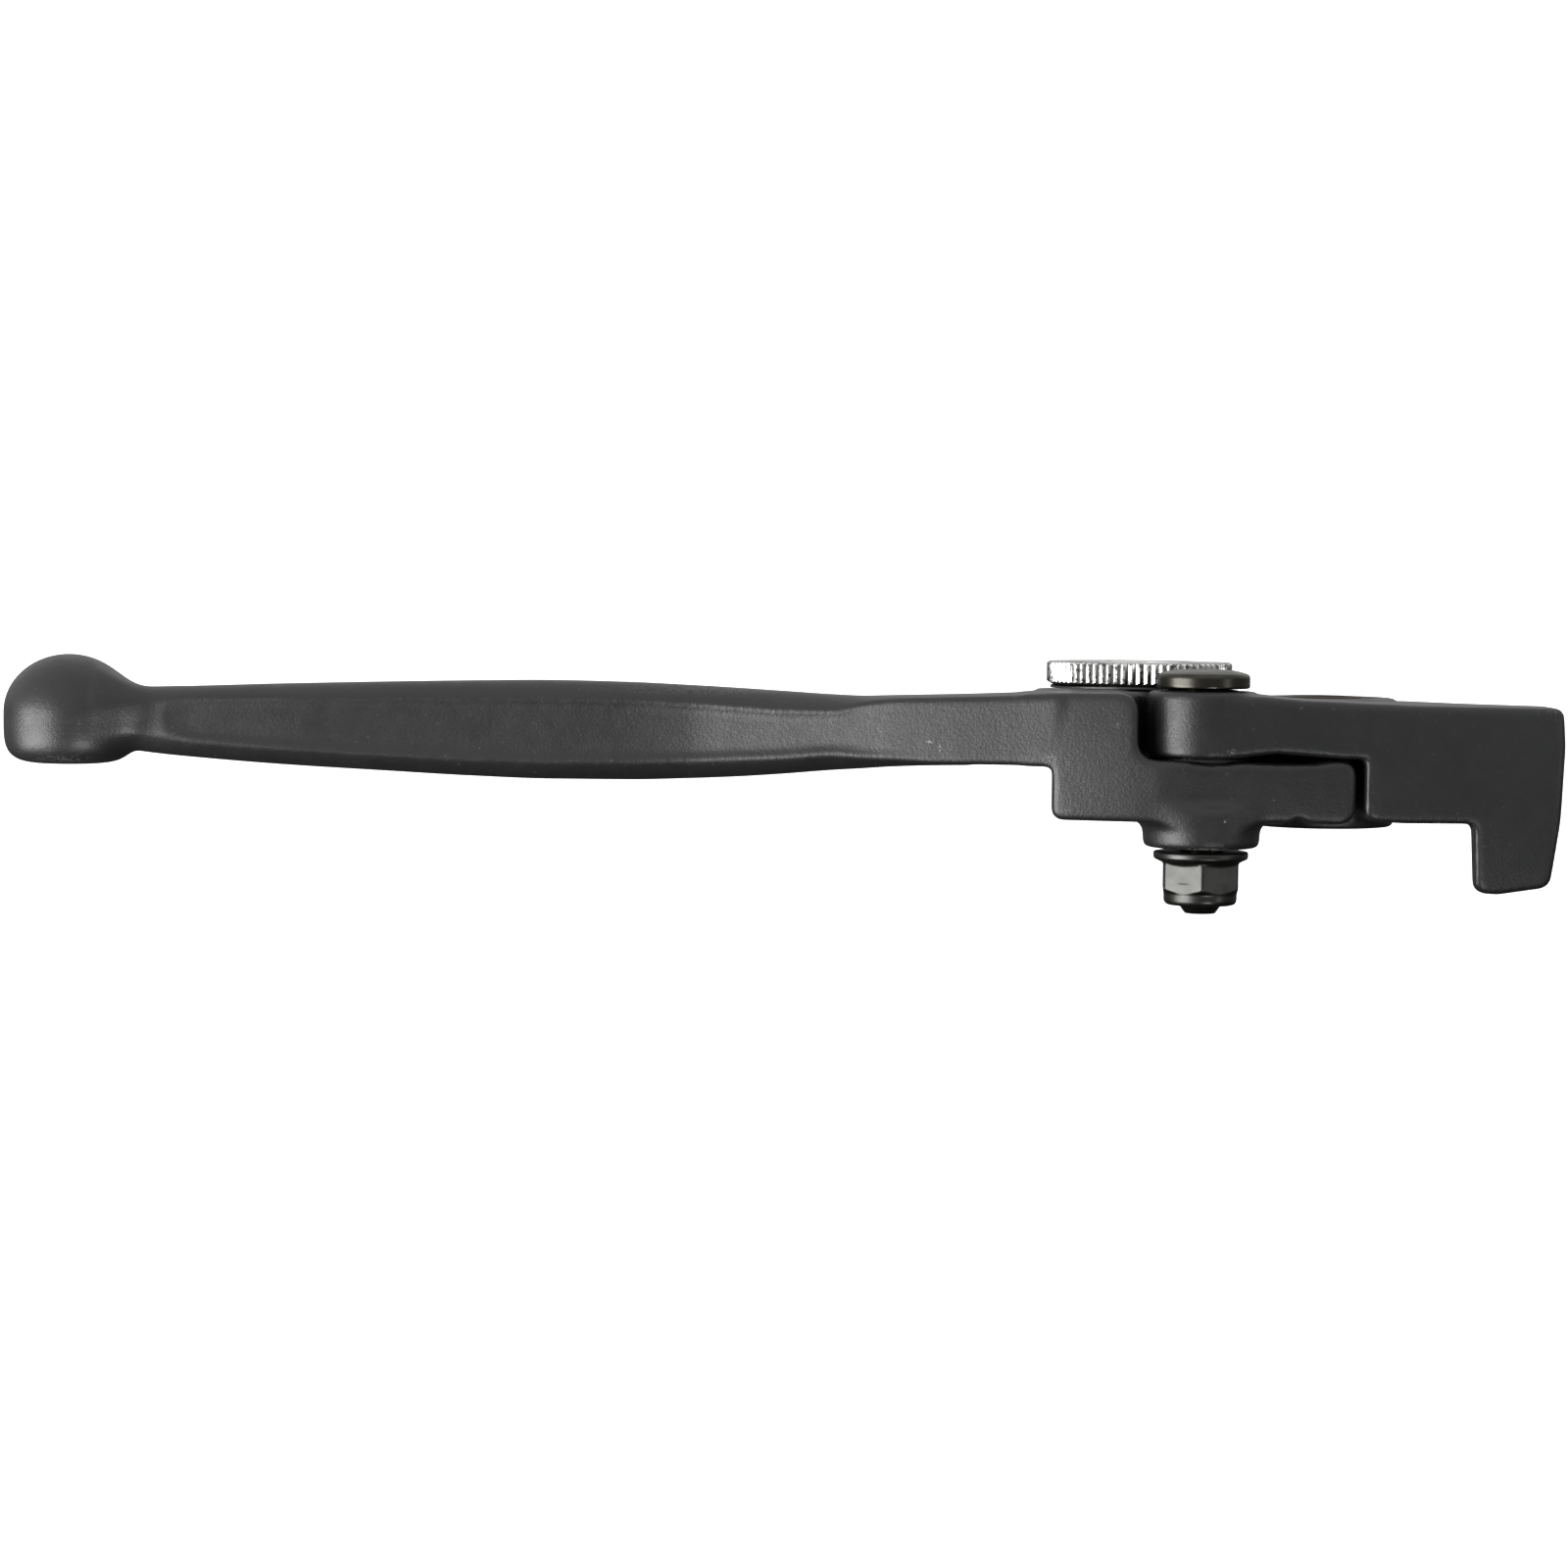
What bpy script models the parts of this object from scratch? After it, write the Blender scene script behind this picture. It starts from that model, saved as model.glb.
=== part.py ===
"""Adjustable clutch lever for a hydraulic clutch: finger blade, knuckle (holder), hinge bolt, reach dial with its cam, return spring and the barrel that takes the push rod.

Frame: origin on the main pivot axis at mid height of the pivot boss. +Z runs up the pivot axis, +X runs inboard along the handlebar, +Y points towards the rider's grip. The ball end of the blade lies at -X. All design numbers are in millimetres and are turned into metres when a mesh is made.
"""

import math

import bmesh
import bpy
from mathutils import Vector

MM = 0.001

# ---------------------------------------------------------------- driving dimensions (mm)
PIVOT = (0.0, 0.0)  # main pivot, on the perch's bolt
HINGE = (-17.9, -17.0)  # bolt that joins blade and holder
DIAL = (-24.75, 2.0)  # reach dial, its shaft and cam
BARREL = (2.5, 21.5)  # push rod barrel in the rear nose

BUSH_R, BUSH_BORE_R = 5.45, 4.05  # main pivot bush, bored for an 8 mm bolt
BUSH_Z = (-8.8, 9.4)
BOSS_R = 10.0  # main pivot boss
BOSS_Z = (-8.65, 9.25)
MAIN_BORE_R = 5.65
SEAL_R = (5.75, 7.6)
SEAL_DEPTH = 1.0

EAR_R = 7.3  # holder's hinge ear
EAR_Z = (1.65, 10.05)
SLEEVE_R, SLEEVE_BORE_R = 4.75, 3.25
SLEEVE_Z = (-10.9, 10.2)
HINGE_BORE_R = 5.0
LOWER_BOSS_R = 7.75  # blade's hinge boss, below the tail
LOWER_BOSS_Z = -10.4
TAIL_Z = (-7.2, 1.05)
EAR_POCKET_R = 8.3  # room for the holder's ear in the blade's root

HEAD_R, HEAD_Z = 6.2, (10.4, 12.85)
BOLT_R = 2.95  # M6
NUT_AF = 9.8
FLANGE_R = 6.3

DIAL_R, DIAL_Z = 12.7, (10.35, 13.6)
DIAL_TEETH = 76
SHAFT_R, SHAFT_SQ = 2.9, 4.2
CAM_Z = (-2.4, 3.4)
CAM_MAX_R = 6.4
SLOT_Z = (-2.9, 3.9)  # fork slot in the blade's root, for the cam
PIN = (-16.5, 2.0)  # hardened pin that the cam bears on
PIN_R = 1.6
CAM_GAP = 0.25
REACH_DEG = 8.0  # travel of the reach adjustment
DIAL_TURN_PER_REACH = 36.0  # turns of the dial for each turn of the blade about the hinge

WASHER_RECESS = (10.35, 9.0)  # radius and floor height, under the dial
LEG_BACK_Y = -10.6  # rear face of the leg that works the clutch switch

SPRING_AXIS = (-5.5, -3.2)  # X, Z of the return spring, which lies along Y
SPRING_Y = (-19.7, -8.45)
SPRING_MEAN_R, SPRING_WIRE_R, SPRING_COILS = 1.92, 0.33, 6.5

BALL = (-171.75, 2.0, 5.05)
BALL_R, BALL_TOP, BALL_BOTTOM = 8.95, 7.95, 7.1

# Finger blade stations: X, top, bottom, upper and lower edge of the front band (Z), front and back (Y)
STATIONS = [
    (-166.0, 8.30, 0.60, 6.80, 2.30, -2.6, 5.2),
    (-160.1, 8.69, -0.25, 6.96, 2.23, -3.6, 5.6),
    (-153.5, 8.89, -0.89, 7.13, 1.76, -3.6, 6.0),
    (-142.8, 9.29, -1.60, 7.24, 1.00, -3.3, 6.6),
    (-126.9, 9.74, -2.45, 7.38, 0.14, -2.9, 7.0),
    (-116.2, 9.99, -2.97, 7.46, -0.29, -2.7, 7.2),
    (-105.5, 10.16, -3.27, 7.53, -0.52, -2.6, 7.3),
    (-94.8, 10.02, -3.24, 7.42, -0.43, -2.8, 7.2),
    (-86.8, 9.73, -2.96, 7.11, -0.22, -3.4, 6.6),
    (-80.1, 9.44, -2.58, 6.77, 0.11, -4.6, 5.6),
    (-73.5, 9.12, -2.02, 6.42, 0.50, -7.3, 3.8),
    (-66.9, 8.80, -1.28, 6.52, 1.05, -10.7, 1.6),
    (-63.0, 8.69, -0.99, 7.54, 0.71, -12.4, 0.4),
    (-59.1, 8.83, -0.67, 8.27, 0.47, -13.5, -0.6),
    (-52.6, 9.05, -0.35, 8.70, 0.00, -15.2, -1.2),
    (-47.4, 9.22, -0.22, 8.95, 0.05, -16.7, 0.4),
    (-42.3, 9.41, -0.16, 9.20, 0.06, -18.4, 3.0),
    (-37.0, 9.60, -0.14, 9.40, 0.07, -20.3, 5.5),
]

# ---------------------------------------------------------------- scene and helpers
for old in list(bpy.data.objects):
    bpy.data.objects.remove(old, do_unlink=True)

scene = bpy.context.scene


def material(name, rgb, rough, metal):
    m = bpy.data.materials.new(name)
    m.use_nodes = True
    p = m.node_tree.nodes["Principled BSDF"]
    p.inputs["Base Color"].default_value = (*rgb, 1.0)
    p.inputs["Roughness"].default_value = rough
    p.inputs["Metallic"].default_value = metal
    return m


def axis_empty(name, xy, parent=None):
    e = bpy.data.objects.new(name, None)
    e.empty_display_size = 0.01
    scene.collection.objects.link(e)
    e.location = (xy[0] * MM, xy[1] * MM, 0.0)
    if parent:
        e.parent = parent
        e.location -= Vector(
            [parent_world(parent)[k] for k in range(3)]
        )
    return e


def parent_world(o):
    at = Vector((0.0, 0.0, 0.0))
    while o:
        at += o.location
        o = o.parent
    return at


def to_object(name, bm, axis=None, mat=None, angle=35.0):
    """A mesh built in world millimetres becomes an object whose origin lies on its axis."""
    bmesh.ops.recalc_face_normals(bm, faces=bm.faces)
    if bm.calc_volume(signed=True) < 0:
        bmesh.ops.reverse_faces(bm, faces=bm.faces)
    base = parent_world(axis)
    for v in bm.verts:
        v.co = v.co * MM - base
    me = bpy.data.meshes.new(name)
    bm.to_mesh(me)
    bm.free()
    me.shade_smooth()
    me.set_sharp_from_angle(angle=math.radians(angle))
    o = bpy.data.objects.new(name, me)
    scene.collection.objects.link(o)
    if axis:
        o.parent = axis
    if mat:
        me.materials.append(mat)
    return o


def rounded(points, seg=4):
    """An outline whose corners (x, y, radius) are rounded."""
    out = []
    n = len(points)
    for i, p in enumerate(points):
        r = p[2] if len(p) > 2 else 0.0
        c = Vector((p[0], p[1]))
        if r <= 0:
            out.append((c.x, c.y))
            continue
        a = (Vector(points[i - 1][:2]) - c).normalized()
        b = (Vector(points[(i + 1) % n][:2]) - c).normalized()
        half = math.acos(max(-1.0, min(1.0, a.dot(b)))) / 2
        cut = r / math.tan(half)
        centre = c + (a + b).normalized() * (r / math.sin(half))
        s, e = c + a * cut - centre, c + b * cut - centre
        turn = math.atan2(s.x * e.y - s.y * e.x, s.dot(e))
        for k in range(seg + 1):
            t = turn * k / seg
            out.append(
                (
                    centre.x + s.x * math.cos(t) - s.y * math.sin(t),
                    centre.y + s.x * math.sin(t) + s.y * math.cos(t),
                )
            )
    return out


def extruded(points, lo, hi, along="Z"):
    """A prism of an outline: along Z the outline is (x, y), along Y it is (x, z), along X it is (y, z)."""
    place = {
        "Z": lambda a, b, c: (a, b, c),
        "Y": lambda a, b, c: (a, c, b),
        "X": lambda a, b, c: (c, a, b),
    }[along]
    bm = bmesh.new()
    low = [bm.verts.new(place(x, y, lo)) for x, y in points]
    high = [bm.verts.new(place(x, y, hi)) for x, y in points]
    bm.faces.new(low)
    bm.faces.new(list(reversed(high)))
    n = len(points)
    for i in range(n):
        j = (i + 1) % n
        bm.faces.new((low[j], low[i], high[i], high[j]))
    return bm


def circle(cx, cy, r, n, start=0.0):
    return [
        (
            cx + r * math.cos(start + math.tau * k / n),
            cy + r * math.sin(start + math.tau * k / n),
        )
        for k in range(n)
    ]


def turned(profile, cx, cy, n, along="Z", start=0.0):
    """A body turned about an axis through (cx, cy). The profile is a closed loop of (radius, height); points at radius 0 close it on the axis."""
    place = {
        "Z": lambda a, b, c: (a, b, c),
        "Y": lambda a, b, c: (a, c, b),
        "X": lambda a, b, c: (c, a, b),
    }[along]
    bm = bmesh.new()
    rings = []
    for r, h in profile:
        if r < 1e-6:
            rings.append([bm.verts.new(place(cx, cy, h))])
        else:
            rings.append(
                [bm.verts.new(place(x, y, h)) for x, y in circle(cx, cy, r, n, start)]
            )
    m = len(rings)
    for i in range(m):
        a, b = rings[i], rings[(i + 1) % m]
        if len(a) == 1 and len(b) == 1:
            continue
        for k in range(n):
            j = (k + 1) % n
            if len(a) == 1:
                bm.faces.new((a[0], b[j], b[k]))
            elif len(b) == 1:
                bm.faces.new((a[k], a[j], b[0]))
            else:
                bm.faces.new((a[k], a[j], b[j], b[k]))
    return bm


def lofted(rings):
    """A body through rings of points, closed at both ends."""
    bm = bmesh.new()
    rows = [[bm.verts.new(p) for p in ring] for ring in rings]
    n = len(rows[0])
    for a, b in zip(rows, rows[1:]):
        for k in range(n):
            j = (k + 1) % n
            bm.faces.new((a[k], a[j], b[j], b[k]))
    bm.faces.new(list(reversed(rows[0])))
    bm.faces.new(rows[-1])
    return bm


def tool(name, bm, axis=None):
    """A cutter or an added body, which isn't a piece of its own."""
    o = to_object(name, bm, axis)
    o.hide_render = True
    o.display_type = "WIRE"
    return o


def boolean(target, other, operation):
    m = target.modifiers.new(other.name, "BOOLEAN")
    m.object = other
    m.operation = operation
    m.solver = "EXACT"
    return m


def add(target, name, bm, axis=None):
    boolean(target, tool(name, bm, axis), "UNION")


def cut(target, name, bm, axis=None):
    boolean(target, tool(name, bm, axis), "DIFFERENCE")


def keep(target, name, bm, axis=None):
    boolean(target, tool(name, bm, axis), "INTERSECT")


def smooth_value(x, xs, ys):
    """A smooth curve through the design stations (cubic Hermite with limited slopes)."""
    if x <= xs[0]:
        return ys[0]
    if x >= xs[-1]:
        return ys[-1]
    i = max(k for k in range(len(xs) - 1) if xs[k] <= x)
    slopes = [(ys[k + 1] - ys[k]) / (xs[k + 1] - xs[k]) for k in range(len(xs) - 1)]

    def tangent(k):
        if k == 0:
            return slopes[0]
        if k == len(xs) - 1:
            return slopes[-1]
        a, b = slopes[k - 1], slopes[k]
        return 0.0 if a * b <= 0 else 2 * a * b / (a + b)

    h = xs[i + 1] - xs[i]
    t = (x - xs[i]) / h
    a, b = tangent(i) * h, tangent(i + 1) * h
    return (
        (2 * t**3 - 3 * t**2 + 1) * ys[i]
        + (t**3 - 2 * t**2 + t) * a
        + (-2 * t**3 + 3 * t**2) * ys[i + 1]
        + (t**3 - t**2) * b
    )


def blade_section(x):
    """Finger section at x: flat front band, a rounded bevel above and below it, and a full round back."""
    xs = [s[0] for s in STATIONS]
    zt, zb, zu, zl, yf, yb = (
        smooth_value(x, xs, [s[k] for s in STATIONS]) for k in range(1, 7)
    )
    crest = yf + 0.36 * (yb - yf)
    mid = (zt + zb) / 2
    ring = [(yf, zl), (yf, zu)]
    for k in range(1, 4):
        s = math.radians(30 * k)
        ring.append((yf + (crest - yf) * (1 - math.cos(s)), zu + (zt - zu) * math.sin(s)))
    for k in range(1, 4):
        s = math.radians(24 * k)
        ring.append(
            (crest + (yb - crest) * math.sin(s) ** 0.8, mid + (zt - mid) * math.cos(s) ** 0.7)
        )
    ring.append((yb, mid))
    for k in range(3, 0, -1):
        s = math.radians(24 * k)
        ring.append(
            (crest + (yb - crest) * math.sin(s) ** 0.8, mid + (zb - mid) * math.cos(s) ** 0.7)
        )
    for k in range(3, 0, -1):
        s = math.radians(30 * k)
        ring.append((yf + (crest - yf) * (1 - math.cos(s)), zl + (zb - zl) * math.sin(s)))
    return [(x, y, z) for y, z in ring]


def ball_profile():
    """The ball end is squashed: round above, squarer below with a flat underside."""
    profile = [(0.0, BALL[2] + BALL_TOP)]
    for k in range(1, 7):
        s = math.radians(15 * k)
        profile.append((BALL_R * math.sin(s), BALL[2] + BALL_TOP * math.cos(s)))
    for k in range(1, 6):
        u = math.radians(18 * k)
        e = 2 / 3.5
        profile.append(
            (BALL_R * math.cos(u) ** e, BALL[2] - BALL_BOTTOM * math.sin(u) ** e)
        )
    profile[-1] = (0.0, BALL[2] - BALL_BOTTOM)
    return profile


def cam_outline(n=72):
    """Spiral cam. Its radius towards the bearing pin shrinks just as fast as the blade swings in about the hinge, so that the gap stays the same all the way round."""
    dx, dy = DIAL[0] - HINGE[0], DIAL[1] - HINGE[1]

    def towards_pin(reach):
        c, s = math.cos(-reach), math.sin(-reach)
        at = (HINGE[0] + dx * c - dy * s, HINGE[1] + dx * s + dy * c)
        gx, gy = PIN[0] - at[0], PIN[1] - at[1]
        return math.hypot(gx, gy) - PIN_R - CAM_GAP, math.atan2(gy, gx)

    least, _ = towards_pin(math.radians(REACH_DEG))
    last = math.radians(REACH_DEG) * (DIAL_TURN_PER_REACH - 1)
    pts = []
    for k in range(n):
        psi = -math.tau * k / n  # angle on the cam, from the pin's direction at rest
        turned_by = -psi
        if turned_by <= last + 1e-9:
            reach = turned_by / (DIAL_TURN_PER_REACH - 1)
            r, _ = towards_pin(reach)
        else:
            past = turned_by - last
            r = min(least / max(math.cos(past), 0.2), CAM_MAX_R)
        pts.append((DIAL[0] + r * math.cos(psi), DIAL[1] + r * math.sin(psi)))
    return list(reversed(pts))


def square(cx, cy, side):
    h = side / 2
    return [(cx - h, cy - h), (cx + h, cy - h), (cx + h, cy + h), (cx - h, cy + h)]


# ---------------------------------------------------------------- finishes
BLACK = (0.018, 0.018, 0.019)
coat_blade = material("coat_blade", BLACK, 0.46, 0.0)
coat_holder = material("coat_holder", BLACK, 0.46, 0.0)
bronze = material("bronze", (0.2, 0.14, 0.075), 0.45, 1.0)
seal_rubber = material("seal_rubber", (0.02, 0.02, 0.02), 0.6, 0.0)
black_oxide = material("black_oxide", (0.075, 0.07, 0.05), 0.38, 0.9)
sleeve_steel = material("sleeve_steel", (0.12, 0.12, 0.115), 0.4, 0.9)
washer_steel = material("washer_steel", (0.05, 0.05, 0.048), 0.45, 0.8)
nut_steel = material("nut_steel", (0.13, 0.13, 0.13), 0.35, 0.95)
nylon = material("nylon", (0.12, 0.12, 0.13), 0.5, 0.0)
friction_nylon = material("friction_nylon", (0.03, 0.03, 0.03), 0.5, 0.0)
chrome = material("chrome", (0.83, 0.83, 0.82), 0.12, 1.0)
wave_steel = material("wave_steel", (0.6, 0.6, 0.6), 0.25, 1.0)
shaft_steel = material("shaft_steel", (0.5, 0.5, 0.49), 0.3, 1.0)
cam_steel = material("cam_steel", (0.4, 0.4, 0.4), 0.35, 1.0)
screw_steel = material("screw_steel", (0.6, 0.6, 0.58), 0.25, 1.0)
pin_steel = material("pin_steel", (0.55, 0.55, 0.55), 0.25, 1.0)
spring_steel = material("spring_steel", (0.5, 0.5, 0.5), 0.3, 1.0)
cap_steel = material("cap_steel", (0.5, 0.5, 0.48), 0.35, 1.0)
brass = material("brass", (0.72, 0.53, 0.25), 0.3, 1.0)

# ---------------------------------------------------------------- joint axes
pivot_axis = axis_empty("pivot_axis", PIVOT)
hinge_axis = axis_empty("hinge_axis", HINGE, pivot_axis)
dial_axis = axis_empty("dial_axis", DIAL, hinge_axis)
barrel_axis = axis_empty("barrel_axis", BARREL, pivot_axis)

# ---------------------------------------------------------------- lever blade
first, last_x, count = -165.5, -39.0, 30
blade = to_object(
    "lever_blade",
    lofted(
        [
            blade_section(first + (last_x - first) * k / (count - 1))
            for k in range(count)
        ]
    ),
    hinge_axis,
    coat_blade,
)
add(blade, "add_ball", turned(ball_profile(), BALL[0], BALL[1], 28), hinge_axis)

# root: full-height block at the front, joined to the tail below the holder's ear
root = tool(
    "add_root",
    extruded(
        [
            (-38.05, -5.5),
            (-40.5, -5.5),
            (-40.5, -19.3),
            (-38.05, -20.1),
            (-26.85, -23.2),
            (-20.4, -24.0),
            (-17.6, -24.1),
            (2.24, -20.8),
            (2.24, -13.2),
            (-8.0, -12.6),
            (-11.5, -10.9),
            (-14.5, -9.7),
            (-18.9, -8.6),
            (-18.9, -5.5),
        ],
        -7.6,
        10.4,
    ),
    hinge_axis,
)
keep(
    root,
    "root_front_outline",
    extruded(
        rounded(
            [
                (-40.4, 9.5),
                (-40.4, -0.12),
                (-38.05, -0.12, 0.5),
                (-38.05, -7.0, 1.5),
                (-30.0, -7.0),
                (-9.0, -7.02),
                (-2.0, -7.3),
                (2.24, -7.42, 1.9),
                (2.24, 1.28, 2.2),
                (-1.2, 1.25, 1.0),
                (-3.4, 0.55, 1.0),
                (-8.5, 0.5, 3.0),
                (-16.0, 1.04, 3.0),
                (-26.85, 1.07, 2.3),
                (-26.85, 9.85, 2.2),
                (-38.0, 9.75),
            ]
        ),
        -30.0,
        2.0,
        "Y",
    ),
    hinge_axis,
)
boolean(blade, root, "UNION")

# shelves for the dial's shaft, above and below the fork slot
angle = math.acos((-18.9 - DIAL[0]) / 10.2)
arc = [
    (DIAL[0] + 10.2 * math.cos(a), DIAL[1] + 10.2 * math.sin(a))
    for a in (angle + (math.pi - angle) * k / 14 for k in range(15))
]
add(
    blade,
    "add_shelves",
    extruded(
        [(-39.3, -6.2), (-30.0, -14.5), (-18.9, -14.5)] + arc + [(-36.2, 5.0), (-39.3, 4.4)],
        -6.95,
        9.7,
    ),
    hinge_axis,
)
# no material below the finger to the left of the block, whose side tapers in towards the back
cut(
    blade,
    "cut_under_neck",
    extruded(
        [(-46.0, -28.0), (-38.15, -28.0), (-38.15, -20.3), (-37.0, -6.2), (-35.9, 8.0), (-46.0, 8.0)],
        -9.0,
        -0.16,
    ),
    hinge_axis,
)
cut(
    blade,
    "cut_ear_pocket",
    extruded(circle(*HINGE, EAR_POCKET_R, 48), 1.2, 12.0),
    hinge_axis,
)
cut(
    blade,
    "cut_washer_recess",
    extruded(circle(*DIAL, WASHER_RECESS[0], 56), WASHER_RECESS[1], 12.0),
    dial_axis,
)
cut(
    blade,
    "cut_fork_slot",
    extruded(rounded([(-32.0, -6.0, 2.5), (-8.0, -6.0), (-8.0, 16.0), (-32.0, 16.0)]), *SLOT_Z),
    hinge_axis,
)
add(
    blade,
    "add_lower_boss",
    turned(
        [
            (0, -6.0),
            (LOWER_BOSS_R, -6.0),
            (LOWER_BOSS_R, LOWER_BOSS_Z + 1.1),
            (LOWER_BOSS_R - 0.35, LOWER_BOSS_Z + 0.35),
            (LOWER_BOSS_R - 1.2, LOWER_BOSS_Z),
            (0, LOWER_BOSS_Z),
        ],
        *HINGE,
        48,
    ),
    hinge_axis,
)
cut(blade, "cut_hinge_bore", extruded(circle(*HINGE, HINGE_BORE_R, 48), -12.0, 3.0), hinge_axis)
cut(blade, "cut_washer_seat", extruded(circle(*HINGE, 6.45, 48), 0.5, 3.0), hinge_axis)
cut(blade, "cut_shaft_bore", extruded(circle(*DIAL, SHAFT_R + 0.3, 32), -9.0, 12.0), dial_axis)
cut(blade, "cut_shaft_head_seat", extruded(circle(*DIAL, 4.8, 32), -9.0, -5.3), dial_axis)
cut(
    blade,
    "cut_spring_pocket",
    extruded(circle(*SPRING_AXIS, 2.6, 24), -20.0, -10.0, "Y"),
    hinge_axis,
)

# ---------------------------------------------------------------- lever holder
holder = to_object(
    "lever_holder",
    extruded(
        [
            (-17.9, -24.3),
            (5.5, -20.6),
            (29.95, -15.8),
            (29.95, -6.5),
            (28.5, -5.0),
            (20.0, -3.2),
            (9.0, 4.0),
            (0.0, 8.0),
            (-8.6, 4.6),
            (-16.95, -9.9),
            (-17.9, -12.0),
        ],
        -20.0,
        11.0,
    ),
    pivot_axis,
    coat_holder,
)
keep(
    holder,
    "holder_front_outline",
    extruded(
        rounded(
            [
                (-20.0, 9.75),
                (-20.0, 1.7),
                (-16.0, 1.72, 2.0),
                (-8.5, 2.45, 4.0),
                (-3.0, 2.1, 3.0),
                (0.5, 1.75),
                (3.3, 1.7, 0.6),
                (3.3, -6.9, 1.4),
                (9.0, -7.18),
                (17.5, -7.25, 1.0),
                (18.1, -16.4, 1.3),
                (22.0, -16.6, 2.0),
                (28.5, -15.6, 1.6),
                (29.5, -7.0, 8.0),
                (29.9, 3.0, 8.0),
                (29.75, 8.45, 1.1),
                (9.0, 8.85),
                (7.0, 8.95),
                (-10.3, 9.6),
            ]
        ),
        -30.0,
        12.0,
        "Y",
    ),
    pivot_axis,
)
cut(holder, "cut_pad_relief", extruded(circle(*PIVOT, 10.6, 48), 8.7, 12.0), pivot_axis)
cut(
    holder,
    "cut_behind_leg",
    extruded(
        [(12.0, -13.6), (17.2, -13.6), (20.6, LEG_BACK_Y), (34.0, LEG_BACK_Y), (34.0, 6.0), (12.0, 6.0)],
        -22.0,
        -7.35,
    ),
    pivot_axis,
)
add(holder, "add_ear", extruded(circle(*HINGE, EAR_R, 48), *EAR_Z), pivot_axis)
add(holder, "add_boss", extruded(circle(*PIVOT, BOSS_R, 56), *BOSS_Z), pivot_axis)
add(
    holder,
    "add_spring_wall",
    extruded([(-9.2, -9.8), (6.0, -9.8), (6.0, 0.3), (-9.2, 0.3)], -7.0, 4.0),
    pivot_axis,
)
add(
    holder,
    "add_anvil",
    extruded([(-17.2, -1.2), (-5.0, -2.2), (-5.0, 6.4), (-17.2, 5.2)], CAM_Z[0], CAM_Z[1]),
    pivot_axis,
)
nose = [
    (BARREL[0] + 7.4 * math.cos(a), BARREL[1] + 7.4 * math.sin(a))
    for a in (math.radians(-8 + 190 * k / 16) for k in range(17))
]
add(
    holder,
    "add_nose",
    extruded(nose + [(-8.9, 2.0), (9.2, 1.0)], -5.6, 6.0),
    pivot_axis,
)
cut(holder, "cut_main_bore", extruded(circle(*PIVOT, MAIN_BORE_R, 48), -12.0, 12.0), pivot_axis)
cut(
    holder,
    "cut_seal_seat_top",
    extruded(circle(*PIVOT, SEAL_R[1] + 0.3, 48), BOSS_Z[1] - SEAL_DEPTH, 12.0),
    pivot_axis,
)
cut(
    holder,
    "cut_seal_seat_bottom",
    extruded(circle(*PIVOT, SEAL_R[1] + 0.3, 48), -12.0, BOSS_Z[0] + SEAL_DEPTH),
    pivot_axis,
)
cut(holder, "cut_ear_bore", extruded(circle(*HINGE, HINGE_BORE_R, 48), 0.0, 12.0), pivot_axis)
cut(holder, "cut_pin_groove", extruded(circle(*PIN, PIN_R + 0.25, 24), -4.0, 5.0), pivot_axis)
cut(
    holder,
    "cut_cap_seat",
    extruded(circle(*SPRING_AXIS, 3.15, 24), -12.0, -7.3, "Y"),
    pivot_axis,
)
cut(holder, "cut_barrel_bore", extruded(circle(*BARREL, 5.3, 40), -8.0, 8.0), barrel_axis)
cut(
    holder,
    "cut_push_rod_window",
    extruded([(18.3, -3.0), (27.6, -3.0), (27.6, 3.0), (18.3, 3.0)], 3.0, 14.0, "X"),
    barrel_axis,
)

# ---------------------------------------------------------------- main pivot
to_object(
    "main_pivot_bush",
    turned(
        [(BUSH_BORE_R, BUSH_Z[0]), (BUSH_R, BUSH_Z[0]), (BUSH_R, BUSH_Z[1]), (BUSH_BORE_R, BUSH_Z[1])],
        *PIVOT,
        36,
    ),
    pivot_axis,
    bronze,
)
for name, lo, hi in (
    ("pivot_seal_upper", BOSS_Z[1] - SEAL_DEPTH + 0.2, BOSS_Z[1] - 0.05),
    ("pivot_seal_lower", BOSS_Z[0] + 0.05, BOSS_Z[0] + SEAL_DEPTH - 0.2),
):
    to_object(
        name,
        turned([(SEAL_R[0], lo), (SEAL_R[1], lo), (SEAL_R[1], hi), (SEAL_R[0], hi)], *PIVOT, 36),
        pivot_axis,
        seal_rubber,
    )

# ---------------------------------------------------------------- hinge hardware
bolt = to_object(
    "hinge_bolt",
    turned(
        [
            (0, HEAD_Z[1]),
            (3.9, HEAD_Z[1]),
            (4.4, HEAD_Z[1] - 0.05),
            (HEAD_R - 0.25, HEAD_Z[1] - 0.55),
            (HEAD_R, HEAD_Z[1] - 0.8),
            (HEAD_R, HEAD_Z[0] + 0.2),
            (HEAD_R - 0.2, HEAD_Z[0]),
            (BOLT_R, HEAD_Z[0]),
            (BOLT_R, -18.9),
            (2.35, -19.5),
            (0, -19.5),
        ],
        *HINGE,
        40,
    ),
    hinge_axis,
    black_oxide,
)
cut(
    bolt,
    "cut_bolt_slot",
    extruded(
        [
            (HINGE[0] - 8, HINGE[1] - 0.8),
            (HINGE[0] + 8, HINGE[1] - 0.8),
            (HINGE[0] + 8, HINGE[1] + 0.8),
            (HINGE[0] - 8, HINGE[1] + 0.8),
        ],
        HEAD_Z[1] - 1.3,
        HEAD_Z[1] + 2,
    ),
    hinge_axis,
)
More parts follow.
